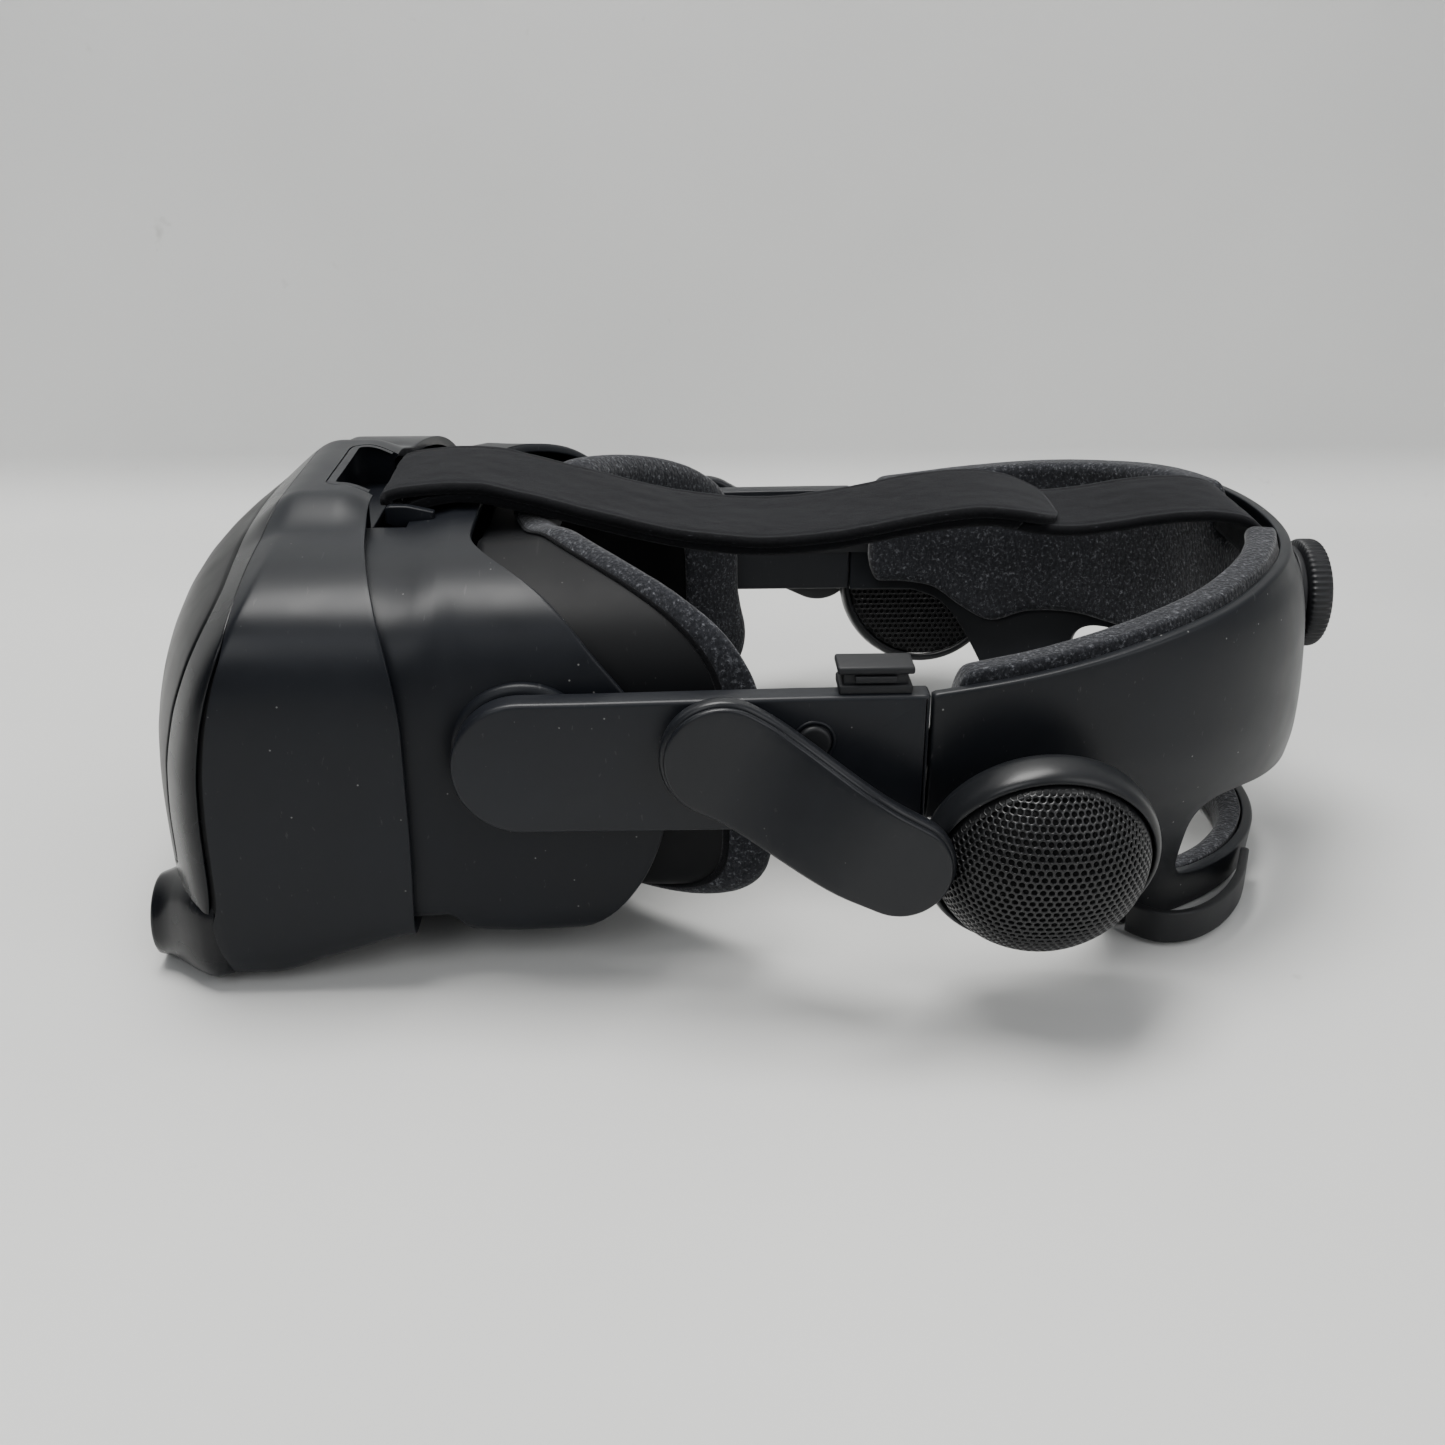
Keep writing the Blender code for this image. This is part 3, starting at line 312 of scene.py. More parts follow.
def loft(rings, cyclic=False, cap=True, closed=True):
    """Surface through rings of equal count."""
    bm = bmesh.new()
    rows = [[bm.verts.new(p) for p in ring] for ring in rings]
    n = len(rows[0])
    pairs = list(zip(rows, rows[1:]))
    if cyclic:
        pairs.append((rows[-1], rows[0]))
    for a, b in pairs:
        for i in range(n if closed else n - 1):
            j = (i + 1) % n
            bm.faces.new((a[i], a[j], b[j], b[i]))
    if not cyclic and cap:
        bm.faces.new(rows[0][::-1])
        bm.faces.new(rows[-1])
    return bm


def smooth(points, per=6, closed=False):
    pts = [Vector(p) for p in points]
    n = len(pts)
    out = []
    for i in range(n if closed else n - 1):
        if closed:
            p0, p1, p2, p3 = pts[(i - 1) % n], pts[i], pts[(i + 1) % n], pts[(i + 2) % n]
        else:
            p0, p1, p2, p3 = pts[max(i - 1, 0)], pts[i], pts[i + 1], pts[min(i + 2, n - 1)]
        for k in range(per):
            t = k / per
            out.append(0.5 * ((2 * p1) + (p2 - p0) * t + (2 * p0 - 5 * p1 + 4 * p2 - p3) * t * t + (3 * p1 - p0 - 3 * p2 + p3) * t ** 3))
    if not closed:
        out.append(pts[-1])
    return out


def resample(points, step, closed=True):
    """Points this far apart along a 2D outline."""
    pts = [Vector(p) for p in points]
    if closed:
        pts.append(pts[0].copy())
    d = [0.0]
    for a, b in zip(pts, pts[1:]):
        d.append(d[-1] + (b - a).length)
    n = max(8, int(round(d[-1] / step)))
    s = [d[-1] * i / n for i in range(n if closed else n + 1)]
    return [Vector(c) for c in zip(*[np.interp(s, d, [p[k] for p in pts]) for k in range(len(pts[0]))])]


def rounded(outline, radius, steps=6):
    out = []
    n = len(outline)
    rad = radius if isinstance(radius, (list, tuple)) else [radius] * n
    for i in range(n):
        a, b, c = (Vector(outline[(i - 1) % n]), Vector(outline[i]), Vector(outline[(i + 1) % n]))
        if rad[i] <= 0:
            out.append(b)
            continue
        u, v = (a - b), (c - b)
        t = min(rad[i], u.length * 0.48, v.length * 0.48)
        p, q = b + u.normalized() * t, b + v.normalized() * t
        for k in range(steps + 1):
            s = k / steps
            out.append(p * (1 - s) ** 2 + b * 2 * s * (1 - s) + q * s * s)
    return out


def inset(outline, amount):
    """Outline moved inwards along its corner normals. The outline runs anticlockwise."""
    n = len(outline)
    out = []
    for i in range(n):
        t = (outline[(i + 1) % n] - outline[(i - 1) % n])
        t = t.normalized() if t.length > 1e-9 else Vector((1, 0))
        out.append(outline[i] + Vector((-t.y, t.x)) * amount)
    return out


def area(outline):
    return 0.5 * sum(a.x * b.y - b.x * a.y for a, b in zip(outline, outline[1:] + outline[:1]))


def slab(outline, place, thick, edge=0.8, edge2=None, steps=4, grid=0.0, holes=(), crown=None):
    """A plate of any outline with rounded rims. place(u, v, depth) gives the point; depth 0 is the outer skin.
    holes are outlines too. grid adds inner points this far apart, for a plate that curves. crown(d) gives the skin's extra depth at distance d from the rim."""
    loops = []
    for k, ol in enumerate([outline, *holes]):
        ol = [Vector(p) for p in ol]
        if (area(ol) > 0) != (k == 0):
            ol = ol[::-1]
        loops.append(ol)
    e2 = edge if edge2 is None else edge2
    profile = [(edge * (1 - math.sin(a)), edge * (1 - math.cos(a))) for a in [math.pi / 2 * i / steps for i in range(steps + 1)]]
    profile += [(e2 * (1 - math.cos(a)), thick - e2 * (1 - math.sin(a))) for a in [math.pi / 2 * i / steps for i in range(steps + 1)]]
    bm = bmesh.new()
    tops, lows = [], []
    for ol in loops:
        rows = []
        for ins, depth in profile:
            moved = inset(ol, ins)
            rows.append([bm.verts.new(place(p.x, p.y, depth)) for p in moved])
        n = len(ol)
        for a, b in zip(rows, rows[1:]):
            for i in range(n):
                j = (i + 1) % n
                bm.faces.new((a[i], a[j], b[j], b[i]))
        tops.append((inset(ol, edge), rows[0]))
        lows.append((inset(ol, e2), rows[-1]))
    for which, depth, flip in ((tops, 0.0, True), (lows, thick, False)):
        pts, verts, faces = [], [], []
        for ol, row in which:
            start = len(pts)
            pts += ol
            verts += row
            faces.append([start + i for i in range(len(ol))])
        edges = [(f[i], f[(i + 1) % len(f)]) for f in faces for i in range(len(f))]
        fixed = len(pts)
        if grid:
            rim = np.array([[p.x, p.y] for p in pts])
            lo, hi = rim.min(0), rim.max(0)
            row = 0
            y = lo[1]
            segs = [(np.array([which[k][0][i].x, which[k][0][i].y]), np.array([which[k][0][(i + 1) % len(which[k][0])].x, which[k][0][(i + 1) % len(which[k][0])].y])) for k in range(len(which)) for i in range(len(which[k][0]))]
            A = np.array([s[0] for s in segs])
            B = np.array([s[1] for s in segs])
            D = B - A
            L = (D ** 2).sum(1) + 1e-12
            while y < hi[1]:
                x = lo[0] + (grid / 2 if row % 2 else 0.0)
                while x < hi[0]:
                    cross = ((A[:, 1] > y) != (B[:, 1] > y)) & (x < A[:, 0] + (y - A[:, 1]) * D[:, 0] / np.where(np.abs(D[:, 1]) < 1e-12, 1e-12, D[:, 1]))
                    if cross.sum() % 2 == 1:
                        t = np.clip(((x - A[:, 0]) * D[:, 0] + (y - A[:, 1]) * D[:, 1]) / L, 0, 1)
                        dist = np.hypot(x - A[:, 0] - t * D[:, 0], y - A[:, 1] - t * D[:, 1]).min()
                        if dist > grid * 0.45:
                            pts.append(Vector((x, y)))
                            extra = crown(dist) if crown and depth == 0.0 else 0.0
                            verts.append(bm.verts.new(place(x, y, depth + extra)))
                    x += grid
                y += grid * 0.87
                row += 1
        if grid or len(which) > 1:
            co, _, tri, orig, _, _ = delaunay_2d_cdt([p for p in pts], edges, [], 1, 1e-7)
            index = [o[0] if o else None for o in orig]
            rimloops = [np.array([[p.x, p.y] for p in ol]) for ol, _ in which]
            for f in tri:
                ids = [index[i] for i in f]
                if None in ids or len(set(ids)) < 3:
                    continue
                c = sum((co[i] for i in f), Vector((0, 0))) / 3
                inside = 0
                for rl in rimloops:
                    q = np.roll(rl, -1, axis=0)
                    dy = q[:, 1] - rl[:, 1]
                    hit = ((rl[:, 1] > c.y) != (q[:, 1] > c.y)) & (c.x < rl[:, 0] + (c.y - rl[:, 1]) * (q[:, 0] - rl[:, 0]) / np.where(np.abs(dy) < 1e-12, 1e-12, dy))
                    inside += int(hit.sum())
                if inside % 2 == 1:
                    try:
                        bm.faces.new([verts[i] for i in (ids[::-1] if flip else ids)])
                    except ValueError:
                        pass
        else:
            bm.faces.new(verts[::-1] if flip else verts)
    return bm


def turned(profile, centre, axis, seg=64, ribs=None):
    """Turned body through (r, h) points; a point on the axis closes it. ribs(angle, r, h) changes the radius."""
    q = Vector(axis).normalized().to_track_quat("Z", "Y")
    c = Vector(centre)
    bm = bmesh.new()
    rows = []
    closed = min(r for r, _ in profile) > 0
    for r, h in profile:
        if r <= 1e-9:
            rows.append([bm.verts.new(c + q @ Vector((0, 0, h)))])
        else:
            row = []
            for i in range(seg):
                a = 2 * math.pi * i / seg
                rr = r + (ribs(a, r, h) if ribs else 0.0)
                row.append(bm.verts.new(c + q @ Vector((rr * math.cos(a), rr * math.sin(a), h))))
            rows.append(row)
    for a, b in list(zip(rows, rows[1:])) + ([(rows[-1], rows[0])] if closed else []):
        for i in range(seg):
            j = (i + 1) % seg
            if len(a) == 1:
                bm.faces.new((a[0], b[j], b[i]))
            elif len(b) == 1:
                bm.faces.new((a[i], a[j], b[0]))
            else:
                bm.faces.new((a[i], a[j], b[j], b[i]))
    return bm


def arc_profile(corners, r=0.4, steps=3):
    """(r, h) profile with small rounds at its inner corners."""
    out = [corners[0]]
    for a, b, c in zip(corners, corners[1:], corners[2:]):
        A, B, C = Vector(a), Vector(b), Vector(c)
        t = min(r, (A - B).length * 0.45, (C - B).length * 0.45)
        p, q = B + (A - B).normalized() * t, B + (C - B).normalized() * t
        for k in range(steps + 1):
            s = k / steps
            out.append(tuple(p * (1 - s) ** 2 + B * 2 * s * (1 - s) + q * s * s))
    out.append(corners[-1])
    return out


def box(x0, x1, y0, y1, z0, z1, r=0.4, seg=3):
    bm = bmesh.new()
    bmesh.ops.create_cube(bm, size=1.0)
    for v in bm.verts:
        v.co = Vector(((x0 + x1) / 2 + v.co.x * (x1 - x0), (y0 + y1) / 2 + v.co.y * (y1 - y0), (z0 + z1) / 2 + v.co.z * (z1 - z0)))
    if r:
        bmesh.ops.bevel(bm, geom=bm.edges[:] + bm.verts[:], offset=r, segments=seg, profile=0.5, affect="EDGES")
    return bm


def merged(*bms):
    out = bmesh.new()
    for bm in bms:
        me = bpy.data.meshes.new("tmp")
        bmesh.ops.recalc_face_normals(bm, faces=bm.faces[:])
        bm.to_mesh(me)
        bm.free()
        out.from_mesh(me)
        bpy.data.meshes.remove(me)
    return out


def lerp(table, x):
    xs, ys = zip(*table)
    return float(np.interp(x, xs, ys))


def curve(table):
    """A smooth one-variable curve through a table, as a function."""
    xs = np.array([a for a, _ in table], float)
    ys = np.array([b for _, b in table], float)
    h = np.diff(xs)
    d = np.diff(ys) / h
    m = np.zeros(len(xs))
    m[0], m[-1] = d[0], d[-1]
    for i in range(1, len(xs) - 1):
        m[i] = 0.0 if d[i - 1] * d[i] <= 0 else (2 * h[i] + h[i - 1] + h[i] + 2 * h[i - 1]) / ((2 * h[i] + h[i - 1]) / d[i - 1] + (h[i] + 2 * h[i - 1]) / d[i])

    def f(x):
        x = min(max(x, xs[0]), xs[-1])
        i = min(int(np.searchsorted(xs, x, side="right")) - 1, len(h) - 1)
        t = (x - xs[i]) / h[i]
        return float(ys[i] * (2 * t ** 3 - 3 * t * t + 1) + m[i] * h[i] * (t ** 3 - 2 * t * t + t) + ys[i + 1] * (3 * t * t - 2 * t ** 3) + m[i + 1] * h[i] * (t ** 3 - t * t))

    return f


def step01(t):
    t = min(1.0, max(0.0, t))
    return t * t * (3 - 2 * t)


# ---------------------------------------------------------------- the visor's surface
SHELL_W, SHELL_ZC, SHELL_HT, SHELL_REAR, WALL, PLAN_R = 88.0, 45.0, 60.0, -86.0, 2.6, 190.0
PIVOT = (-58.5, 61.0)
SEAM_X = 36.5
FRONT_X = curve([(0, -152), (7, -156.5), (14, -159.3), (27, -161.0), (42, -161.2), (55, -160.4), (68, -157.6), (80, -152.8), (88, -147.8), (94, -142.4), (99.4, -136), (104, -128.5), (107, -121), (109, -112)])
BOTTOM = curve([(-136, 0.8), (-130, 1.4), (-110, 5.0), (-84, 12.0), (-60, 11.0), (-40, 10.0)])
SEAM_LINE = curve([(0, -135.9), (18.5, -135.6), (26, -129.1), (60, -126.5), (91, -124.8), (98, -124.4), (104, -124.0), (108, -122.5), (114, -120.0)])


def section_radius(th, width=SHELL_W, up=SHELL_HT, down=SHELL_ZC - 0.8, nt=5.0, nb=12.0):
    c, s = abs(math.cos(th)), math.sin(th)
    n, h = (nt, up) if s >= 0 else (nb, down)
    return ((c / width) ** n + (abs(s) / h) ** n) ** (-1.0 / n)


def hump(x, y):
    fx = step01((x + 136.0) / 20.0) * step01((-92.0 - x) / 16.0)
    return 5.4 * fx * step01((44.0 - abs(y)) / 18.0)


def rim_x(th):
    s = math.sin(th)
    return -121.0 + 15.0 * max(s, 0) ** 3 - 15.0 * max(-s, 0) ** 2


def shell_rear(th):
    s = math.sin(th)
    return -86.0 - 14.0 * step01((s - 0.25) / 0.7) - 3.0 * step01(-s / 0.9)


def dome(th, s):
    r = section_radius(th) * s
    y, z = r * math.cos(th), SHELL_ZC + r * math.sin(th)
    core = FRONT_X(z) + y * y / (2 * PLAN_R)
    rim = rim_x(th)
    x = rim - (rim - core) * max(0.0, 1.0 - s ** 9) ** (1 / 9)
    if z > SHELL_ZC:
        z += hump(x, y) * min(1.0, (z - SHELL_ZC) / 50.0)
    return Vector((x, y, z))


def sleeve(th, x):
    k = step01((x - rim_x(th)) / 14.0)
    r = section_radius(th, down=(SHELL_ZC - 0.8) * (1 - k) + (SHELL_ZC - BOTTOM(x)) * k)
    y, z = r * math.cos(th), SHELL_ZC + r * math.sin(th)
    if z > SHELL_ZC:
        z += hump(x, y)
    return Vector((x, y, z))


def sunk(P, th, s, depth):
    """A point this far under the surface P(th, s)."""
    p = P(th, s)
    if depth == 0.0:
        return p
    a = P(th + 0.004, s) - P(th - 0.004, s)
    b = P(th, s + 0.002) - P(th, s - 0.002)
    n = a.cross(b).normalized()
    if n.dot(p - Vector((-100.0, 0.0, SHELL_ZC))) < 0:
        n = -n
    return p - n * depth


def seam_s(th):
    lo, hi = 0.6, 1.0
    for _ in range(26):
        mid = (lo + hi) / 2
        p = dome(th, mid)
        if p.x < SEAM_LINE(p.z):
            lo = mid
        else:
            hi = mid
    return (lo + hi) / 2


def plate_s(th):
    y = SHELL_W * math.cos(th)
    base = 0.86 + 0.07 * step01((math.sin(th) - 0.3) / 0.6)
    if math.sin(th) < 0:
        z_low = 27.0 - 13.0 * (1 - min(1.0, max(0.0, (abs(y) - 30.0) / 22.0)))
        base = min(base, (SHELL_ZC - z_low) / max(1e-6, section_radius(th) * -math.sin(th)))
    return base


NA = 320
ANG = [2 * math.pi * (i + 0.5) / NA for i in range(NA)]
SEAM = [min(seam_s(th), 0.9985) for th in ANG]
PLATE = [min(plate_s(th), s - 0.06) for th, s in zip(ANG, SEAM)]


def softened(values, passes):
    v = np.array(values)
    for _ in range(passes):
        v = 0.25 * np.roll(v, 1) + 0.5 * v + 0.25 * np.roll(v, -1)
    return [float(x) for x in v]


PLATE = softened(PLATE, 10)
SEAM = softened(SEAM, 3)


def front_tube(th, t):
    """The front housing from its seam (t 0) over the shoulder (t 1) to the rear edge (t 2)."""
    if t <= 1.0:
        i = (th / (2 * math.pi)) * NA - 0.5
        j = math.floor(i)
        f = i - j
        s0 = SEAM[j % NA] * (1 - f) + SEAM[(j + 1) % NA] * f
        return dome(th, min(0.99999, s0 + (1 - s0) * t))
    return sleeve(th, rim_x(th) + (shell_rear(th) - rim_x(th)) * (t - 1.0))


def rows_of(P, ts, depth=0.0):
    return [[sunk(P, th, t, depth) for th in ANG] for t in ts]


# rows bunch near the shoulder so that the blend stays round
ts = [0.02, 0.06, 0.12, 0.2, 0.3, 0.4, 0.5, 0.6, 0.7, 0.78, 0.85, 0.9, 0.94, 0.97, 0.99] + [1.0 + 0.995 * i / 26 for i in range(27)]
outer = []
for k in range(4):
    a = math.pi / 2 * k / 4
    outer.append([sunk(front_tube, th, 0.004 + 0.012 * (1 - math.cos(a)), 0.45 * (1 - math.sin(a))) for th in ANG])
outer += rows_of(front_tube, ts)
for k in range(1, 5):
    a = math.pi / 2 * k / 4
    outer.append([sunk(front_tube, th, 1.995, 0.5 * (1 - math.cos(a))) + Vector((0.3 * math.sin(a), 0, 0)) for th in ANG])
inner = rows_of(front_tube, [1.99, 1.7, 1.4, 1.1, 0.9, 0.5, 0.1, 0.004], WALL)
bm = loft(outer + inner, cyclic=True)
front_housing = make(bm, "looks_front_housing", "shell")


def cut_away(obj, outline, z0, z1, radius=0.0):
    """Cuts a prism of this outline out of the object; the radius argument is not used."""
    bm = bmesh.new()
    rows = []
    for z in (z0, z1):
        rows.append([bm.verts.new(((p[0] + SHIFT) * MM, p[1] * MM, z * MM)) for p in outline])
    n = len(outline)
    for i in range(n):
        j = (i + 1) % n
        bm.faces.new((rows[0][i], rows[0][j], rows[1][j], rows[1][i]))
    bm.faces.new(rows[0][::-1])
    bm.faces.new(rows[1])
    bmesh.ops.recalc_face_normals(bm, faces=bm.faces[:])
    me = bpy.data.meshes.new("cutter")
    bm.to_mesh(me)
    bm.free()
    tool = bpy.data.objects.new("cutter", me)
    COL.objects.link(tool)
    apply_boolean(obj, tool, "DIFFERENCE")


def apply_boolean(obj, tool, op):
    mod = obj.modifiers.new("cut", "BOOLEAN")
    mod.operation = op
    mod.solver = "EXACT"
    mod.object = tool
    bpy.context.view_layer.update()
    graph = bpy.context.evaluated_depsgraph_get()
    me = bpy.data.meshes.new_from_object(obj.evaluated_get(graph))
    obj.modifiers.clear()
    old = obj.data
    obj.data = me
    bpy.data.meshes.remove(old)
    bpy.data.objects.remove(tool, do_unlink=True)
    obj.data.shade_smooth()
    obj.data.set_sharp_from_angle(angle=math.radians(34))


U = rounded([(-112.5, -21.2), (-78.0, -21.2), (-78.0, 21.2), (-112.5, 21.2)], [5, 0, 0, 5])
cut_away(front_housing, U, 98.6, 130.0)
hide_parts("front_housing")
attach(front_housing, "front_body")

# pocket lining: floor, walls and a rounded lip that follows the housing's crown
from mathutils.bvhtree import BVHTree
TOP = BVHTree.FromBMesh(loft(rows_of(front_tube, ts)[:], cap=False))


def crown_z(x, y):
    hit = TOP.ray_cast(Vector((x, y, 150.0)), Vector((0, 0, -1)))[0]
    return hit.z if hit else 110.0


lip = [Vector(p) for p in rounded([(-78.0, -21.2), (-112.5, -21.2), (-112.5, 21.2), (-78.0, 21.2)], [0, 5, 5, 0], 8)]
lip = [p for p in resample(lip, 0.7, closed=False) if p.x < -100.4]
rows = []
for k in range(-1, 8):
    # a bead whose top is just under the crown and whose inner side is the pocket's wall
    row = []
    for i, p in enumerate(lip):
        d = (lip[min(i + 1, len(lip) - 1)] - lip[max(i - 1, 0)]).normalized()
        n = Vector((d.y, -d.x))          # away from the pocket
        if k < 0:
            off, dz = 2.6, 0.02
        elif k < 6:
            a = math.pi / 2 * k / 5
            off, dz = 1.0 - 1.25 * math.sin(a), 0.06 - 1.1 * (1 - math.cos(a))
        else:
            off, dz = (-0.25, -6.0) if k == 6 else (-0.25, -16.0)
        q = p + n * off
        z = max(crown_z(q.x, q.y) + dz, 98.8)
        row.append((q.x, q.y, z))
    rows.append(row)
bm = loft(rows, cap=False, closed=False)
make(bm, "looks_pocket_lip", "shell", "front_body")
bm = slab(rounded([(-113.2, -21.6), (-100.4, -21.6), (-100.4, 21.6), (-113.2, 21.6)], [5, 1, 1, 5]), lambda u, v, d: Vector((u, v, 99.0 - d)), 1.4, 0.3)
make(bm, "looks_pocket_floor", "rear", "front_body")

# feet under the front
for tag, y0, y1 in (("left", -62.0, -50.0), ("right", 50.0, 62.0)):
    bm = box(-134.6, -127.0, y0, y1, 0.0, 3.4, 0.7)
    make(bm, "looks_foot_" + tag, "shell", "front_body")

# ---------------------------------------------------------------- bezel
def bez(th, k):
    i = (th / (2 * math.pi)) * NA - 0.5
    j = math.floor(i)
    f = i - j
    a = PLATE[j % NA] * (1 - f) + PLATE[(j + 1) % NA] * f
    b = SEAM[j % NA] * (1 - f) + SEAM[(j + 1) % NA] * f
    return dome(th, a + (b - a) * k)


outer = []
for k in range(5):
    a = math.pi / 2 * k / 4
    outer.append([sunk(bez, th, 0.05 + 0.02 * (1 - math.cos(a)), 1.0 * (1 - math.sin(a))) for th in ANG])
outer += rows_of(bez, [0.085, 0.12, 0.18, 0.25, 0.35, 0.45, 0.55, 0.65, 0.75, 0.85, 0.92, 0.955])
for k in range(1, 5):
    a = math.pi / 2 * k / 4
    outer.append([sunk(bez, th, 0.955 + 0.02 * math.sin(a), 0.5 * (1 - math.cos(a))) for th in ANG])
inner = []
for k, depth in ((0.97, 2.0), (0.7, 2.1), (0.4, 2.2), (0.12, 2.2), (0.05, 2.2)):
    inner.append([sunk(bez, th, k, depth) for th in ANG])
bm = loft(outer + inner, cyclic=True)
make(bm, "looks_bezel", "bezel", "front_body", ("bezel",))

# the seam's dark joint behind the two edges, so that the gap reads as a line
def seam_strip(th, k):
    i = (th / (2 * math.pi)) * NA - 0.5
    j = math.floor(i)
    f = i - j
    b = SEAM[j % NA] * (1 - f) + SEAM[(j + 1) % NA] * f
    return dome(th, min(0.99995, b + k * 0.01))


rows = [[sunk(seam_strip, th, k, d) for th in ANG] for k, d in ((-3, 1.1), (0, 0.9), (2, 1.1), (2, 1.5), (-3, 1.5))]
make(loft(rows, cyclic=True), "looks_seam_joint", "inside", "front_body")

# ---------------------------------------------------------------- front cover
def cov(th, k):
    i = (th / (2 * math.pi)) * NA - 0.5
    j = math.floor(i)
    f = i - j
    return dome(th, (PLATE[j % NA] * (1 - f) + PLATE[(j + 1) % NA] * f) * k)


rings = rows_of(cov, [0.05, 0.12, 0.2, 0.3, 0.4, 0.5, 0.6, 0.7, 0.78, 0.85, 0.9, 0.94, 0.965, 0.98])
for k in range(1, 7):
    a = math.pi / 2 * k / 6
    rings.append([sunk(cov, th, 0.98 + 0.015 * math.sin(a), 1.3 * (1 - math.cos(a))) for th in ANG])
rings += [[p + Vector((1.9, 0, 0)) for p in row] for row in rows_of(cov, [0.985, 0.7, 0.3, 0.05])]
bm = loft(rings)
make(bm, "looks_front_cover", "cover", "front_cover", ("front_cover",))

# the panel behind the cover, with the tray's opening
def panel(u, v, d):
    return Vector((FRONT_X(v) + u * u / (2 * PLAN_R) + 4.6 + d, u, v))


edge = []
for th, k in zip(ANG, PLATE):
    r = section_radius(th) * k
    edge.append(Vector((r * math.cos(th), SHELL_ZC + r * math.sin(th))))
edge = resample([tuple(p) for p in edge], 2.4)
mouth = rounded([(-28.4, 35.6), (28.4, 35.6), (28.4, 67.4), (-28.4, 67.4)], 1.2, 3)
bm = slab(inset(edge, 0.8), panel, 1.5, 0.5, 0.3, steps=2, grid=5.0, holes=[[tuple(p) for p in resample([tuple(p) for p in mouth], 2.4)]])
make(bm, "looks_front_panel", "dark", "front_body", angle=40)
rows = []
for off, back in ((0.0, 0.3), (0.0, 11.6), (-1.0, 11.6), (-1.0, 0.3)):
    rows.append([(panel(q.x, q.y, 0.0).x + back, q.x, q.y) for q in inset([Vector(p) for p in resample([tuple(p) for p in rounded([(-28.8, 35.2), (28.8, 35.2), (28.8, 67.8), (-28.8, 67.8)], 1.4, 3)], 2.4)], -off)])
make(loft(rows, cyclic=True), "looks_front_panel_mouth", "dark", "front_body", angle=40)

# ---------------------------------------------------------------- camera noses
for side, tag in ((-1, "left"), (1, "right")):
    c = Vector((-147.0, 66.0 * side, 11.2))
    rows = []
    for x, hw, hh, cy, cz, n in ((-150.6, 9.15, 9.15, 66, 10.9, 2), (-153.6, 9.2, 9.2, 66, 10.9, 2), (-154.2, 9.6, 9.6, 66, 10.9, 2), (-154.35, 10.05, 10.05, 66, 10.9, 2), (-154.1, 10.4, 10.4, 66, 10.9, 2), (-153.4, 10.7, 10.6, 66, 11.0, 2.02), (-152.2, 11.0, 10.8, 66.1, 11.2, 2.08), (-150.4, 11.6, 11.1, 66.3, 11.6, 2.2), (-148, 12.9, 11.7, 66.8, 12.2, 2.5), (-145, 14.8, 12.4, 67.5, 13.0, 2.9), (-142, 16.6, 13.0, 68.2, 13.7, 3.3), (-139, 18.0, 13.2, 68.7, 14.1, 3.8), (-136.4, 18.8, 13.0, 68.9, 14.2, 4.2), (-133, 18.4, 12.0, 68.6, 14.0, 4.2)):
        row = []
        for i in range(96):
            a = 2 * math.pi * i / 96
            rr = (abs(math.cos(a)) ** n + abs(math.sin(a)) ** n) ** (-1 / n)
            row.append((x, side * (cy + hw * rr * math.cos(a)), max(cz + hh * rr * math.sin(a), 0.5)))
        rows.append(row)
    make(loft(rows), "looks_camera_nose_" + tag, "bezel", "front_body", (tag + "_camera_barrel",))
    prof = arc_profile([(0, 4.4), (8.9, 4.4), (8.9, 6.7), (8.3, 7.3), (4.0, 7.75), (0, 7.9)], 0.4)
    make(turned(prof, c + Vector((0, 0, -0.3)), (-1, 0.03 * side, 0), 72), "looks_camera_window_" + tag, "window", "front_body", (tag + "_camera_window",))

# ---------------------------------------------------------------- rear housing
EDGE_SIDE = curve([(9.0, -52.0), (13, -42.3), (24, -31.8), (31, -28.3), (42, -25.3), (60, -27.0), (75, -33.3), (83, -39.8), (93, -48.3), (102, -57.3), (106, -66.0)])
REAR_W = curve([(-96, 84.6), (-84, 84.4), (-77, 83.4), (-72, 82.2), (-60, 81.6), (-25, 80.6)])
REAR_UP = curve([(-87, 56.6), (-80, 58.4)])
REAR_LOW = curve([(-96, 13.6), (-89.6, 15.1), (-79.2, 15.1), (-73.6, 9.8), (-60, 8.6), (-40, 9.2)])


def rear_point(th, x, inset=0.0):
    w = REAR_W(x) - inset
    r = section_radius(th, width=w, up=REAR_UP(x) - inset, down=SHELL_ZC - REAR_LOW(x) - inset)
    return Vector((x, r * math.cos(th), SHELL_ZC + r * math.sin(th)))


def rear_edge(th):
    p = rear_point(th, -60.0)
    side, y = EDGE_SIDE(p.z), abs(p.y)
    if math.sin(th) > 0:
        return -73.0 + (side + 73.0) * step01((y - 40.0) / 36.0)
    return -74.0 + (side + 74.0) * step01((y - 16.0) / 40.0)


REDGE = softened([rear_edge(th) for th in ANG], 4)


def rear(th, t, inset=0.0):
    i = (th / (2 * math.pi)) * NA - 0.5
    j = math.floor(i)
    f = i - j
    e = REDGE[j % NA] * (1 - f) + REDGE[(j + 1) % NA] * f
    front = -96.0 - 12.0 * step01((math.sin(th) - 0.25) / 0.7)
    return rear_point(th, -79.2 + (e + 79.2) * t if t > 0 else -79.2 - (front + 79.2) * t, inset)


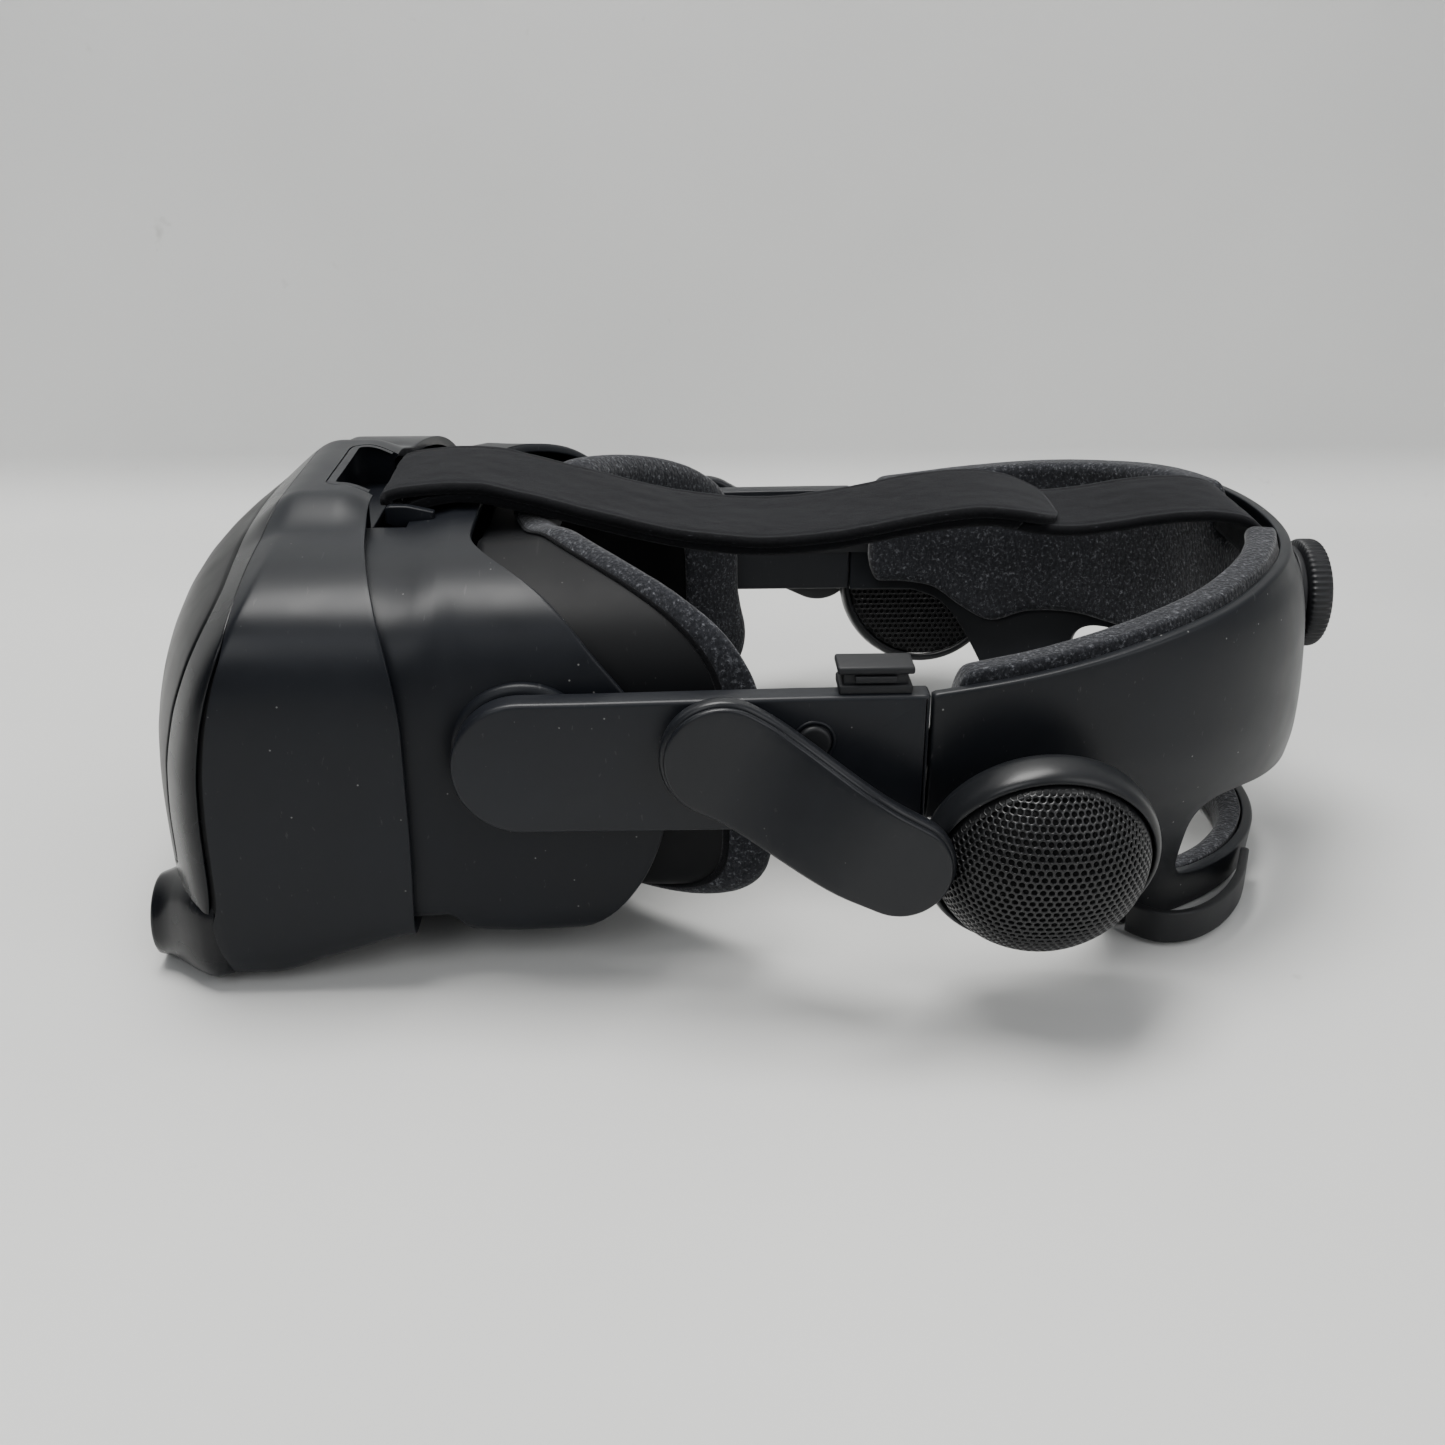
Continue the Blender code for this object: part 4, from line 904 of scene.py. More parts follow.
outer = [[rear(th, t) for th in ANG] for t in (-1, -0.8, -0.6, -0.4, -0.2, 0, 0.05, 0.1, 0.16, 0.22, 0.3, 0.4, 0.5, 0.6, 0.7, 0.8, 0.88, 0.94, 0.97)]
for k in range(1, 6):
    a = math.pi / 2 * k / 5
    outer.append([rear(th, 1.0, 1.0 * (1 - math.cos(a))) + Vector((-1.0 + 1.0 * math.sin(a), 0, 0)) for th in ANG])
for k in range(1, 5):
    a = math.pi / 2 * k / 4
    outer.append([rear(th, 1.0, 1.5 + 0.9 * math.sin(a)) + Vector((-0.9 * (1 - math.cos(a)), 0, 0)) for th in ANG])
inner = [[rear(th, t, 2.4) for th in ANG] for t in (0.9, 0.7, 0.5, 0.3, 0.1, 0, -0.3, -0.6, -1)]
bm = loft(outer + inner, cyclic=True)
rear_housing = make(bm, "looks_rear_housing", "rear")
cut_away(rear_housing, [(-115.0, -30.0), (-90.5, -30.0), (-90.5, 30.0), (-115.0, 30.0)], 92.0, 112.0)
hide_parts("rear_housing")
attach(rear_housing, "visor_frame")
for side, tag in ((-1, "left"), (1, "right")):
    bm = slab(rounded([(-96.6, 105.6), (-96.6, 101.0), (-94.0, 100.0), (-84.0, 100.0), (-84.0, 104.0), (-91.0, 105.6)], [1.6, 0.6, 0.3, 0.3, 0.3, 1]), lambda u, v, d, s=side: Vector((u, s * (22.3 + d), v)), 2.7, 0.4)
    make(bm, "looks_bar_cheek_" + tag, "rear", "visor_frame")
    # stepped ring and stud that the arm turns on
    prof = arc_profile([(0, 0.0), (18.3, 0.0), (18.3, 3.4), (16.9, 4.4), (12.4, 4.6), (12.2, 4.2), (0, 4.2)], 0.7)
    make(turned(prof, (PIVOT[0], side * 78.6, PIVOT[1]), (0, side, 0), 96), "looks_pivot_ring_" + tag, "rear", "visor_frame")
make(turned(arc_profile([(0, -22.0), (1.5, -22.0), (1.5, 22.0), (0, 22.0)], 0.3), (-94.6, 0, 103.6), (0, 1, 0), 24), "looks_strap_bar", "steel", "visor_frame", ("strap_bar",))

# ---------------------------------------------------------------- face gasket
GASKET_W = 74.0


def gasket_ring(width, top, bottom, back, shrink, n=280):
    ring = []
    for i in range(n):
        th = 2 * math.pi * (i + 0.5) / n
        zc = 54.0
        w, up, down = width - shrink, top - zc - shrink, zc - bottom - shrink
        c, s = math.cos(th), math.sin(th)
        nn = 3.6 if s > 0 else 6.0
        r = ((abs(c) / w) ** nn + (abs(s) / (up if s > 0 else down)) ** nn) ** (-1 / nn)
        y, z = r * c, zc + r * s
        if s > 0:
            z += 3.4 * s * step01((abs(y) - 22.5) / 14.0)
        if s < 0:
            notch = max(0.0, 1 - (abs(y) / 24.0) ** 2)
            z += 26.0 * notch * notch
        x = -62.0 + 57.0 * (min(abs(y), 76.0) / 76.0) ** 2.2 + back
        x += 7.0 * max(0.0, -s) ** 2 * (abs(y) / 76.0)
        ring.append(Vector((x, y, z)))
    return ring


def flat_ring(ring, x):
    return [Vector((x, p.y, p.z)) for p in ring]


def mixed(a, b, k, off=Vector()):
    return [p * (1 - k) + q * k + off for p, q in zip(a, b)]


edge_out = gasket_ring(GASKET_W, 98.4, 12.0, 0.0, 0.0)
skirt_out = flat_ring(gasket_ring(GASKET_W - 1.0, 97.2, 13.5, 0.0, 0.0), -72.0)
skirt_in = flat_ring(gasket_ring(GASKET_W - 1.0, 97.2, 13.5, 0.0, 2.6), -72.0)
edge_mid = gasket_ring(GASKET_W, 98.4, 12.0, 0.0, 2.8)
rows = [skirt_out] + [mixed(skirt_out, edge_out, k) for k in (0.1, 0.25, 0.4, 0.55, 0.7, 0.85, 0.93)]
rows += [gasket_ring(GASKET_W, 98.4, 12.0, -0.35, 0.02), gasket_ring(GASKET_W, 98.4, 12.0, -0.1, 0.12), gasket_ring(GASKET_W, 98.4, 12.0, 0.0, 0.45), gasket_ring(GASKET_W, 98.4, 12.0, 0.0, 3.5), gasket_ring(GASKET_W, 98.4, 12.0, 0.0, 6.6), gasket_ring(GASKET_W, 98.4, 12.0, -0.6, 7.0)]
rows += [mixed(skirt_in, edge_mid, k, Vector((-2.0, 0, 0))) for k in (0.8, 0.5, 0.25)] + [skirt_in]
make(loft(rows, cyclic=True), "looks_gasket_frame", "flange", "face_gasket", ("gasket_frame",))

# the cushion: a flattened D that rolls over the frame's edge, pinched along its piping
foam = []
section = smooth([(-2.7, -0.1), (-2.9, -0.7), (-2.0, -1.4), (0.4, -2.0), (3.0, -1.9), (5.4, -0.8), (7.3, 1.0), (8.3, 3.1), (8.5, 5.2), (7.9, 7.3), (6.6, 8.8), (4.6, 9.4), (2.4, 8.6), (1.0, 7.2), (0.75, 5.0), (0.75, 2.2), (0.4, 0.3), (-1.2, -0.1)], 3, closed=True)
for p in section:
    ring = gasket_ring(GASKET_W, 98.4, 12.0, p.x, p.y, 560)
    for q in ring:
        # fuller at the cheeks
        q.x += max(0.0, p.x - 0.8) * 0.5 * step01((abs(q.y) - 44.0) / 16.0) * step01((50.0 - q.z) / 18.0)
    foam.append(ring)
bm = loft(foam, cyclic=True)
for v in bm.verts:
    v.co += Vector((1, 0, 0)) * 0.22 * (noise.noise(v.co * 0.07) + 0.6 * noise.noise(v.co * 0.19))
foam_obj = make(bm, "looks_gasket_foam", "knit", "face_gasket", ("gasket_foam",))
# piping where the knit meets the frame
rows = []
for k in range(8):
    a = 2 * math.pi * k / 8
    r1 = gasket_ring(GASKET_W, 98.4, 12.0, -2.95 + 0.5 * math.cos(a), -0.35 + 0.5 * math.sin(a), 560)
    rows.append(r1)
make(loft(rows, cyclic=True), "looks_gasket_piping", "felt", "face_gasket")

# ---------------------------------------------------------------- side arms
ARM_R = 16.5
for side, tag in ((-1, "left"), (1, "right")):
    pts = []
    for i in range(33):
        a = math.radians(90 + 180 * i / 32)
        pts.append((PIVOT[0] + ARM_R * math.cos(a), PIVOT[1] + ARM_R * math.sin(a)))
    pts += [(SEAM_X - 0.4, 44.5), (SEAM_X - 0.4, 78.6)]
    top = smooth([(SEAM_X - 0.4, 78.6), (5.0, 78.4), (-20.0, 78.0), (-45.0, 77.6), (PIVOT[0], 77.5)], 8)
    pts += [tuple(p) for p in top[1:-1]]
    ol = resample(pts, 1.0)
    place = (lambda u, v, d, s=side: Vector((u, s * (90.0 - d), v)))
    holes = []
    if side > 0:
        holes = [[(PIVOT[0] + 7.3 * math.cos(a), PIVOT[1] + 7.3 * math.sin(a)) for a in [2 * math.pi * i / 48 for i in range(48)]]]
    bm = slab(ol, place, 6.6, 1.1, 0.6, steps=5, holes=holes)
    make(bm, "looks_arm_" + tag, "arm", "strap_frame", (tag + "_arm",))
    # release button beside the speaker arm's hinge
    prof = arc_profile([(0, -1.0), (4.0, -1.0), (4.0, 1.0), (3.4, 1.5), (0, 1.6)], 0.4)
    make(turned(prof, (9.4, side * 90.0, 67.6), (0, side, 0), 48), "looks_arm_button_" + tag, "dial", "strap_frame")
    make(turned([(4.1, -0.5), (5.2, -0.5), (5.1, 0.28), (4.75, 0.42), (4.3, 0.3)], (9.4, side * 90.0, 67.6), (0, side, 0), 48), "looks_arm_button_rim_" + tag, "arm", "strap_frame")
    # rack that runs into the cradle, with its teeth
    pts = [(SEAM_X - 25.0, 57.6), (SEAM_X + 19.5, 57.6)]
    for i in range(9):
        x = SEAM_X + 19.5 - i * 2.0
        pts += [(x, 67.2), (x - 0.6, 69.0), (x - 1.1, 69.0), (x - 1.7, 67.2)]
    pts += [(SEAM_X - 25.0, 69.0)]
    bm = slab([Vector(p) for p in pts], lambda u, v, d, s=side: Vector((u, s * (83.7 - d), v)), 1.4, 0.12, 0.12, steps=1)
    make(bm, "looks_rack_" + tag, "dark", "strap_frame", (tag + "_rack",), angle=30)

# cable clip: a spool-shaped hook, flanges top and bottom
bm = merged(box(14.6, 32.4, -88.7, -79.3, 83.3, 85.2, 0.6), box(16.0, 31.0, -87.6, -80.4, 80.4, 83.5, 0.3), box(15.0, 32.0, -88.6, -79.4, 78.4, 80.7, 0.5), box(18.6, 28.4, -88.9, -87.4, 81.3, 82.9, 0.3))
make(bm, "looks_cable_clip", "dark", "strap_frame", ("cable_clip",))

# ---------------------------------------------------------------- rear cradle
CR_BACK = curve([(-2, 144.7), (0, 145.2), (14, 146.2), (30, 150.2), (45, 152.2), (70, 150.7), (85, 147.7), (92, 144.2), (99, 142.2)])
CR_WIDE = curve([(-2, 72.0), (0, 72.0), (14, 75.0), (36, 82.0), (45, 85.5), (60, 88.8), (80, 89.6), (99, 88.0)])
CR_T = 3.0


def arc_at(f, z, inset=0.0):
    xb, w = CR_BACK(z) - inset, CR_WIDE(z) - inset
    c, s = math.cos(f), math.sin(f)
    return Vector((SEAM_X + (xb - SEAM_X) * abs(c) ** (2 / 2.2), w * math.copysign(abs(s) ** (2 / 2.2), s), z))


_f = [math.pi / 2 * (2 * i / 1200 - 1) for i in range(1201)]
_p = [arc_at(f, 60.0) for f in _f]
_s = [0.0]
for _a, _b in zip(_p, _p[1:]):
    _s.append(_s[-1] + (_b - _a).length)
HALF = _s[-1] / 2
_s = [s - HALF for s in _s]


def cr(s, z, inset=0.0):
    """Point of the cradle shell: s is the way round from the middle of the back, in mm."""
    if abs(s) >= HALF:
        over = abs(s) - HALF
        p = arc_at(math.copysign(math.pi / 2, s), z, inset)
        return Vector((p.x - over, p.y, z))
    return arc_at(float(np.interp(s, _s, _f)), z, inset)


def s_at(x, z):
    """The way round at which the shell's outside stands at this X."""
    lo, hi = 0.0, HALF
    for _ in range(30):
        mid = (lo + hi) / 2
        if cr(mid, z).x > x:
            lo = mid
        else:
            hi = mid
    return (lo + hi) / 2


def edge_line(fn, s_end, step=1.2, guess=60.0):
    """Line z = fn(x) drawn on the shell from -s_end to s_end, as (s, z)."""
    n = int(2 * s_end / step)
    out = []
    for i in range(n + 1):
        s = -s_end + 2 * s_end * i / n
        z = guess
        for _ in range(12):
            z = 0.5 * z + 0.5 * fn(cr(s, z).x)
        out.append(Vector((s, z)))
    return out


top_fn = curve([(36.4, 78.6), (49, 80.4), (61, 82.2), (75, 84.6), (95, 88.2), (115, 91.4), (132, 94.2), (147, 95.2)])
low_pts = smooth([(58.0, 44.5), (67.0, 41.5), (73.4, 35.0), (78.0, 27.5), (83.0, 18.0), (87.0, 9.0), (91.0, 3.0), (97.5, 0.2)], 6)
top_line = edge_line(top_fn, HALF, 1.2, 85.0)
lower = [Vector((-HALF, 44.5)), Vector((-s_at(52.0, 44.5), 44.5))]
for p in low_pts:
    lower.append(Vector((-s_at(p.x, max(p.y, 0.2)), max(p.y, 0.2))))
lower += [Vector((-s_at(112.0, 0.2), 0.2)), Vector((0.0, 0.2))]
lower = lower + [Vector((-p.x, p.y)) for p in lower[::-1][1:]]
outline = resample(lower + top_line[::-1], 1.3)
left_w = [Vector((-s_at(x, z), z)) for x, z in smooth([(108.5, 17.5), (108.5, 24.0), (109.0, 31.0), (111.0, 35.6), (115.4, 38.2), (122.0, 38.6), (131.0, 37.5), (141.0, 36.2)], 6)]
upper = left_w + [Vector((0.0, 35.4))]
upper = upper + [Vector((-p.x, p.y)) for p in upper[::-1][1:]]
low_w = [Vector((-s_at(x, z), z)) for x, z in smooth([(108.5, 17.5), (110.2, 14.0), (115.4, 12.6), (122.0, 12.0), (131.0, 11.6), (141.0, 11.6)], 6)]
low_w = low_w + [Vector((0.0, 11.6))]
low_w = low_w + [Vector((-p.x, p.y)) for p in low_w[::-1][1:]]
hole = resample([Vector(p) for p in upper[:-1]] + [Vector(p) for p in low_w[::-1][:-1]], 1.3)
bm = slab(outline, lambda s, z, d: cr(s, z, d), CR_T, 0.9, 0.6, steps=4, grid=2.4, holes=[hole])
make(bm, "looks_cradle", "cradle", "cradle", ("rear_cradle",))

# cradle pad: knit over foam, crowned towards the head
pad_top = curve([(40, 81.6), (46.0, 82.4), (61, 84.6), (75, 87.0), (95, 90.6), (115, 94.0), (132, 97.0), (147, 98.0)])
pad_low = curve([(44.0, 48.4), (54.0, 49.2), (66.0, 48.0), (76.0, 42.0), (86.0, 38.0), (98.0, 42.0), (112.0, 43.5), (132.0, 41.5), (150.0, 39.6)])
PAD_END = s_at(45.0, 60.0)


line = []
n = int(2 * PAD_END / 1.2)
for i in range(n + 1):
    s = -PAD_END + 2 * PAD_END * i / n
    z = 88.0
    for _ in range(10):
        z = 0.5 * z + 0.5 * pad_top(cr(s, z, 6.0).x + 3.0)
    dip = step01((23.0 - abs(s)) / 5.0)
    line.append(Vector((s, z * (1 - dip) + 82.2 * dip)))
low = []
for i in range(n + 1):
    s = -PAD_END + 2 * PAD_END * i / n
    z = 44.0
    for _ in range(10):
        z = 0.5 * z + 0.5 * pad_low(cr(s, z, 6.0).x + 3.0)
    low.append(Vector((s, z)))
ends = [Vector((PAD_END + 2.5, low[-1].y + 6)), Vector((PAD_END + 2.5, line[-1].y - 6))]
outline = low + ends + line[::-1] + [Vector((-PAD_END - 2.5, line[0].y - 6)), Vector((-PAD_END - 2.5, low[0].y + 6))]
outline = resample([tuple(p) for p in outline], 1.3)
for _ in range(4):
    outline = [0.25 * outline[i - 1] + 0.5 * outline[i] + 0.25 * outline[(i + 1) % len(outline)] for i in range(len(outline))]


def plump(height, reach):
    return lambda d: -height * (1 - math.exp(-(d / reach)))


bm = slab(outline, lambda s, z, d: cr(s, z, 11.6 - d), 8.1, 3.4, 1.0, steps=7, grid=2.2, crown=plump(1.1, 9.0))
for v in bm.verts:
    n1 = 0.35 * noise.noise(v.co * 0.055) + 0.16 * noise.noise(v.co * 0.16)
    out = Vector((v.co.x - 60, v.co.y, 0)).normalized()
    v.co += out * n1
pad = make(bm, "looks_cradle_pad", "knit", "cradle", ("cradle_pad",))

# nape pad, inside the lower bar
NS = s_at(96.0, 6.0)
ol = resample(rounded([(-NS, 1.2), (NS, 1.2), (NS, 12.2), (-NS, 12.2)], 4.5, 6), 1.3)
bm = slab(ol, lambda s, z, d: cr(s, z, 9.4 - d), 5.9, 2.6, 0.8, steps=6, grid=2.2, crown=plump(0.8, 4.0))
for v in bm.verts:
    out = Vector((v.co.x - 60, v.co.y, 0)).normalized()
    v.co += out * (0.3 * noise.noise(v.co * 0.07))
pad = make(bm, "looks_nape_pad", "knit", "cradle", ("nape_pad",))

# gear cover and fit dial
bm = box(142.6, 144.0, -15.0, 15.0, 57.0, 80.0, 0.5)
make(bm, "looks_gear_cover", "dark", "cradle", ("gear_cover",))
prof = [(0, -0.2), (11.6, -0.2), (12.3, 0.1), (14.6, 0.5), (15.0, 0.9), (15.2, 1.6), (15.2, 4.6), (15.0, 5.5), (14.5, 6.2), (13.6, 6.55), (12.9, 6.6), (12.5, 6.2), (11.8, 6.15), (6.0, 6.3), (0, 6.35)]
fine = []
for a, b in zip(prof, prof[1:]):
    fine += [tuple(Vector(a).lerp(Vector(b), k / 3)) for k in range(3)]
fine.append(prof[-1])


def ribs(a, r, h):
    if r < 13.6:
        return 0.0
    return -0.42 * (0.5 + 0.5 * math.cos(a * 56)) ** 0.7 * step01((r - 13.6) / 1.2)


make(turned(fine, (152.9, 0, 70.9), (1, 0, 0), 448, ribs), "looks_fit_dial", "dial", "dial", ("fit_dial",))
prof = arc_profile([(0, 0), (13.4, 0), (13.4, 1.8), (0, 1.8)], 0.5)
make(turned(prof, (150.8, 0, 70.9), (1, 0, 0), 64), "looks_dial_seat", "dark", "cradle")

# cable loop: a rubber band standing off the nape
path = smooth([(95.4, -66.3), (98.6, -69.8), (102.4, -72.0), (108.0, -71.9), (113.5, -69.5), (119.2, -65.0), (124.0, -59.5), (128.0, -53.6), (130.9, -48.0), (134.9, -38.6)], 8)
rows = []
for i, p in enumerate(path):
    d = (path[min(i + 1, len(path) - 1)] - path[max(i - 1, 0)]).normalized()
    nrm = Vector((d.y, -d.x))
    sec = rounded([(-1.2, 0.9), (1.2, 0.9), (1.2, 9.9), (-1.2, 9.9)], 0.9, 4)
    rows.append([(p.x + nrm.x * q.x, p.y + nrm.y * q.x, q.y) for q in sec])
make(loft(rows), "looks_cable_loop", "rubber", "cradle", ("cable_loop",))

# ---------------------------------------------------------------- speakers
ARM_A, ARM_RA, ARM_B, ARM_RB = Vector((-12.0, 66.0)), 14.5, Vector((28.0, 45.0)), 12.6
KNUCKLE = (36.2, 42.6)


def hull2(a, ra, b, rb, n=48):
    """Outline round two circles."""
    d = (b - a)
    base = math.atan2(d.y, d.x)
    spread = math.acos((ra - rb) / d.length)
    pts = []
    for i in range(n + 1):
        t = base + spread + (2 * math.pi - 2 * spread) * i / n
        pts.append((a.x + ra * math.cos(t), a.y + ra * math.sin(t)))
    for i in range(n + 1):
        t = base - spread + 2 * spread * i / n
        pts.append((b.x + rb * math.cos(t), b.y + rb * math.sin(t)))
    return resample(pts, 0.9)


AXIS2 = (ARM_B - ARM_A).normalized()
LEN2 = (ARM_B - ARM_A).length


def paddle_y(u, v):
    t = (Vector((u, v)) - ARM_A).dot(AXIS2)
    return 94.9 + 13.8 * step01((t - 2.0) / (LEN2 - 8.0))


def hex_grille(radius, profile_len, map_fn, pitch, hole, thick, rim_w=0.6):
    """A perforated sheet: hexagonal cells round holes, laid flat by arc length, then formed by map_fn(r, a, depth)."""
    bm = bmesh.new()
    cache = {}

    def vert(x, y, d):
        r = math.hypot(x, y)
        key = (round(x, 3), round(y, 3), d)
        if key not in cache:
            cache[key] = bm.verts.new(map_fn(r, math.atan2(y, x), d))
        return cache[key]

    seg = 12
    n = int(profile_len / pitch) + 2
    for j in range(-n, n + 1):
        for i in range(-n - 1, n + 2):
            cx = (i + (0.5 if j % 2 else 0.0)) * pitch
            cy = j * pitch * math.sqrt(3) / 2
            rc = math.hypot(cx, cy)
            if rc > profile_len - pitch * 0.45:
                continue
            hexr = pitch / math.sqrt(3)
            outer, inner = [], []
            for k in range(seg):
                a = math.radians(30 * k)
                if k % 2 == 1:
                    outer.append((cx + hexr * math.cos(a), cy + hexr * math.sin(a)))
                else:
                    outer.append((cx + pitch / 2 * math.cos(a), cy + pitch / 2 * math.sin(a)))
                inner.append((cx + hole / 2 * math.cos(a), cy + hole / 2 * math.sin(a)))
            bev = [(cx + (hole / 2 + 0.12) * math.cos(math.radians(30 * k)), cy + (hole / 2 + 0.12) * math.sin(math.radians(30 * k))) for k in range(seg)]
            for k in range(seg):
                m = (k + 1) % seg
                bm.faces.new((vert(*outer[k], 0.0), vert(*outer[m], 0.0), vert(*bev[m], 0.03), vert(*bev[k], 0.03)))
                bm.faces.new((vert(*bev[k], 0.03), vert(*bev[m], 0.03), vert(*inner[m], 0.14), vert(*inner[k], 0.14)))
                bm.faces.new((vert(*inner[k], 0.14), vert(*inner[m], 0.14), vert(*inner[m], thick), vert(*inner[k], thick)))
    return bm


def dome_map(profile):
    pts = smooth(profile, 10)
    d = [0.0]
    for a, b in zip(pts, pts[1:]):
        d.append(d[-1] + (b - a).length)
    rs, hs = [p.x for p in pts], [p.y for p in pts]

    def f(L):
        r, h = float(np.interp(L, d, rs)), float(np.interp(L, d, hs))
        e = 0.3
        r2, h2 = float(np.interp(L + e, d, rs)), float(np.interp(L + e, d, hs))
        r1, h1 = float(np.interp(max(L - e, 0), d, rs)), float(np.interp(max(L - e, 0), d, hs))
        t = Vector((r2 - r1, h2 - h1)).normalized()
        return r, h, Vector((-t.y, t.x))

    return f, d[-1]


for side, tag in ((-1, "left"), (1, "right")):
    body = tag + "_speaker_arm"

    def place(u, v, d, s=side):
        y = paddle_y(u, v) + 2.2 - d
        return Vector((u, s * y, v))

    bm = slab(hull2(ARM_A, ARM_RA, ARM_B, ARM_RB), place, 4.4, 1.3, 1.3, steps=5, grid=2.0)
    make(bm, "looks_speaker_arm_" + tag, "paddle", body, (tag + "_speaker_arm",))

    def place_cap(u, v, d, s=side):
        return Vector((u, s * (paddle_y(u, v) + 3.85 - d), v))

    bm = slab(hull2(ARM_A, ARM_RA - 1.0, ARM_B, ARM_RB - 1.0), place_cap, 1.5, 0.8, 0.3, steps=5, grid=2.0)
    make(bm, "looks_speaker_arm_cap_" + tag, "paddle", body, (tag + "_speaker_arm_cap",))
    # hinge collar behind the front end
    prof = arc_profile([(0, -3.4), (8.6, -3.4), (9.2, -2.8), (9.2, 1.0), (0, 1.0)], 0.4)
    make(turned(prof, (ARM_A.x, side * 93.6, ARM_A.y), (0, side, 0), 64), "looks_speaker_hinge_" + tag, "dark", body)

    kn = (KNUCKLE[0], side * 105.4, KNUCKLE[1])
    prof = arc_profile([(0, -2.4), (5.0, -2.4), (5.6, -1.2), (5.6, 1.0), (4.8, 1.9), (0, 2.0)], 0.5)
    make(turned(prof, kn, (0, side, 0), 48), "looks_knuckle_" + tag, "dark", tag + "_knuckle", (tag + "_knuckle",))

    tilt = math.radians(17.0)
    axis = Vector((0, side * math.cos(tilt), -math.sin(tilt)))
    c = Vector((62.4, side * 100.6, 41.2))
    sp = tag + "_speaker"
    prof = [(24.9, -6.4), (25.0, -7.2), (25.6, -7.8), (26.3, -7.6), (27.0, -6.8), (27.4, -5.2), (27.6, -2.6), (27.6, -1.2), (27.5, -0.2), (27.25, 0.9), (26.8, 1.6), (26.3, 2.0), (25.95, 2.05), (25.7, 1.8), (25.5, 1.2), (25.4, 0.4), (25.3, -3.0)]
    make(turned(prof, c, axis, 128), "looks_speaker_ring_" + tag, "ring", sp, (tag + "_speaker_ring",))
    q = axis.to_track_quat("Z", "Y")
    f, total = dome_map([(0, 17.4), (6.8, 17.0), (12.9, 15.4), (18.0, 12.3), (22.0, 8.1), (24.5, 3.3), (25.1, 0.8)])

    def fmap(r, a, d, f=f, q=q, c=c):
        rr, h, n = f(r)
        rr, h = rr - n.x * d, h - n.y * d
        return c + q @ Vector((rr * math.cos(a), rr * math.sin(a), h))

    bm = hex_grille(25.1, total, fmap, 1.95, 1.42, 0.7)
    # solid rim of the grille, tucked into the ring
    make(bm, "looks_outer_grille_" + tag, "grille", sp, (tag + "_outer_grille",))
    rimp = [(25.25, 0.4), (25.0, 1.7), (24.6, 2.8), (24.1, 3.6), (23.8, 3.4), (24.2, 2.6), (24.6, 1.6), (24.7, 0.4)]
    make(turned(rimp, c, axis, 128), "looks_grille_rim_" + tag, "grille", sp)
    # damping cloth just under the perforation
    inner = [(0, 16.3), (6.4, 15.9), (12.1, 14.3), (17.0, 11.3), (20.8, 7.3), (23.1, 2.9), (23.7, 0.4), (22.8, 0.2), (20.0, 6.0), (16.2, 10.0), (11.5, 12.9), (6.0, 14.6), (0, 15.0)]
    make(turned(inner, c, axis, 64), "looks_grille_cloth_" + tag, "inside", sp)
    prof = arc_profile([(0, -4.6), (24.6, -4.6), (24.6, -0.6), (16.0, -0.8), (9.0, -2.6), (3.0, -1.4), (0, -1.2)], 0.5)
    make(turned(prof, c, axis, 64), "looks_driver_" + tag, "dark", sp, (tag + "_driver",))

    g, total2 = dome_map([(0, -8.1), (8.0, -8.05), (16.0, -7.8), (22.5, -7.3), (24.8, -6.6)])

    def gmap(r, a, d, f=g, q=q, c=c):
        rr, h, n = f(r)
        return c + q @ Vector((rr * math.cos(a), rr * math.sin(a), h + d))

    bm = hex_grille(24.6, total2, gmap, 1.95, 1.42, 0.6)
    make(bm, "looks_inner_grille_" + tag, "grille", sp, (tag + "_inner_grille",))
    prof = arc_profile([(0, -7.0), (24.2, -6.6), (24.8, -6.0), (24.8, -5.2), (0, -5.2)], 0.3)
    make(turned(prof, c, axis, 64), "looks_inner_cloth_" + tag, "inside", sp)

# eye relief knob on the right arm
prof = [(0, 0.0), (10.0, 0.0), (10.8, 0.4), (11.0, 1.0), (11.0, 3.6), (10.6, 4.5), (9.8, 5.0), (9.2, 5.0), (8.8, 4.6), (8.0, 4.55), (0, 4.6)]
fine = []
for a, b in zip(prof, prof[1:]):
    fine += [tuple(Vector(a).lerp(Vector(b), k / 3)) for k in range(3)]
fine.append(prof[-1])
make(turned(fine, (PIVOT[0], 90.6, PIVOT[1]), (0, 1, 0), 320, lambda a, r, h: -0.35 * (0.5 + 0.5 * math.cos(a * 40)) * step01((r - 9.9) / 0.9)), "looks_eye_relief_knob", "dial", "eye_relief_dial", ("eye_relief_knob",))

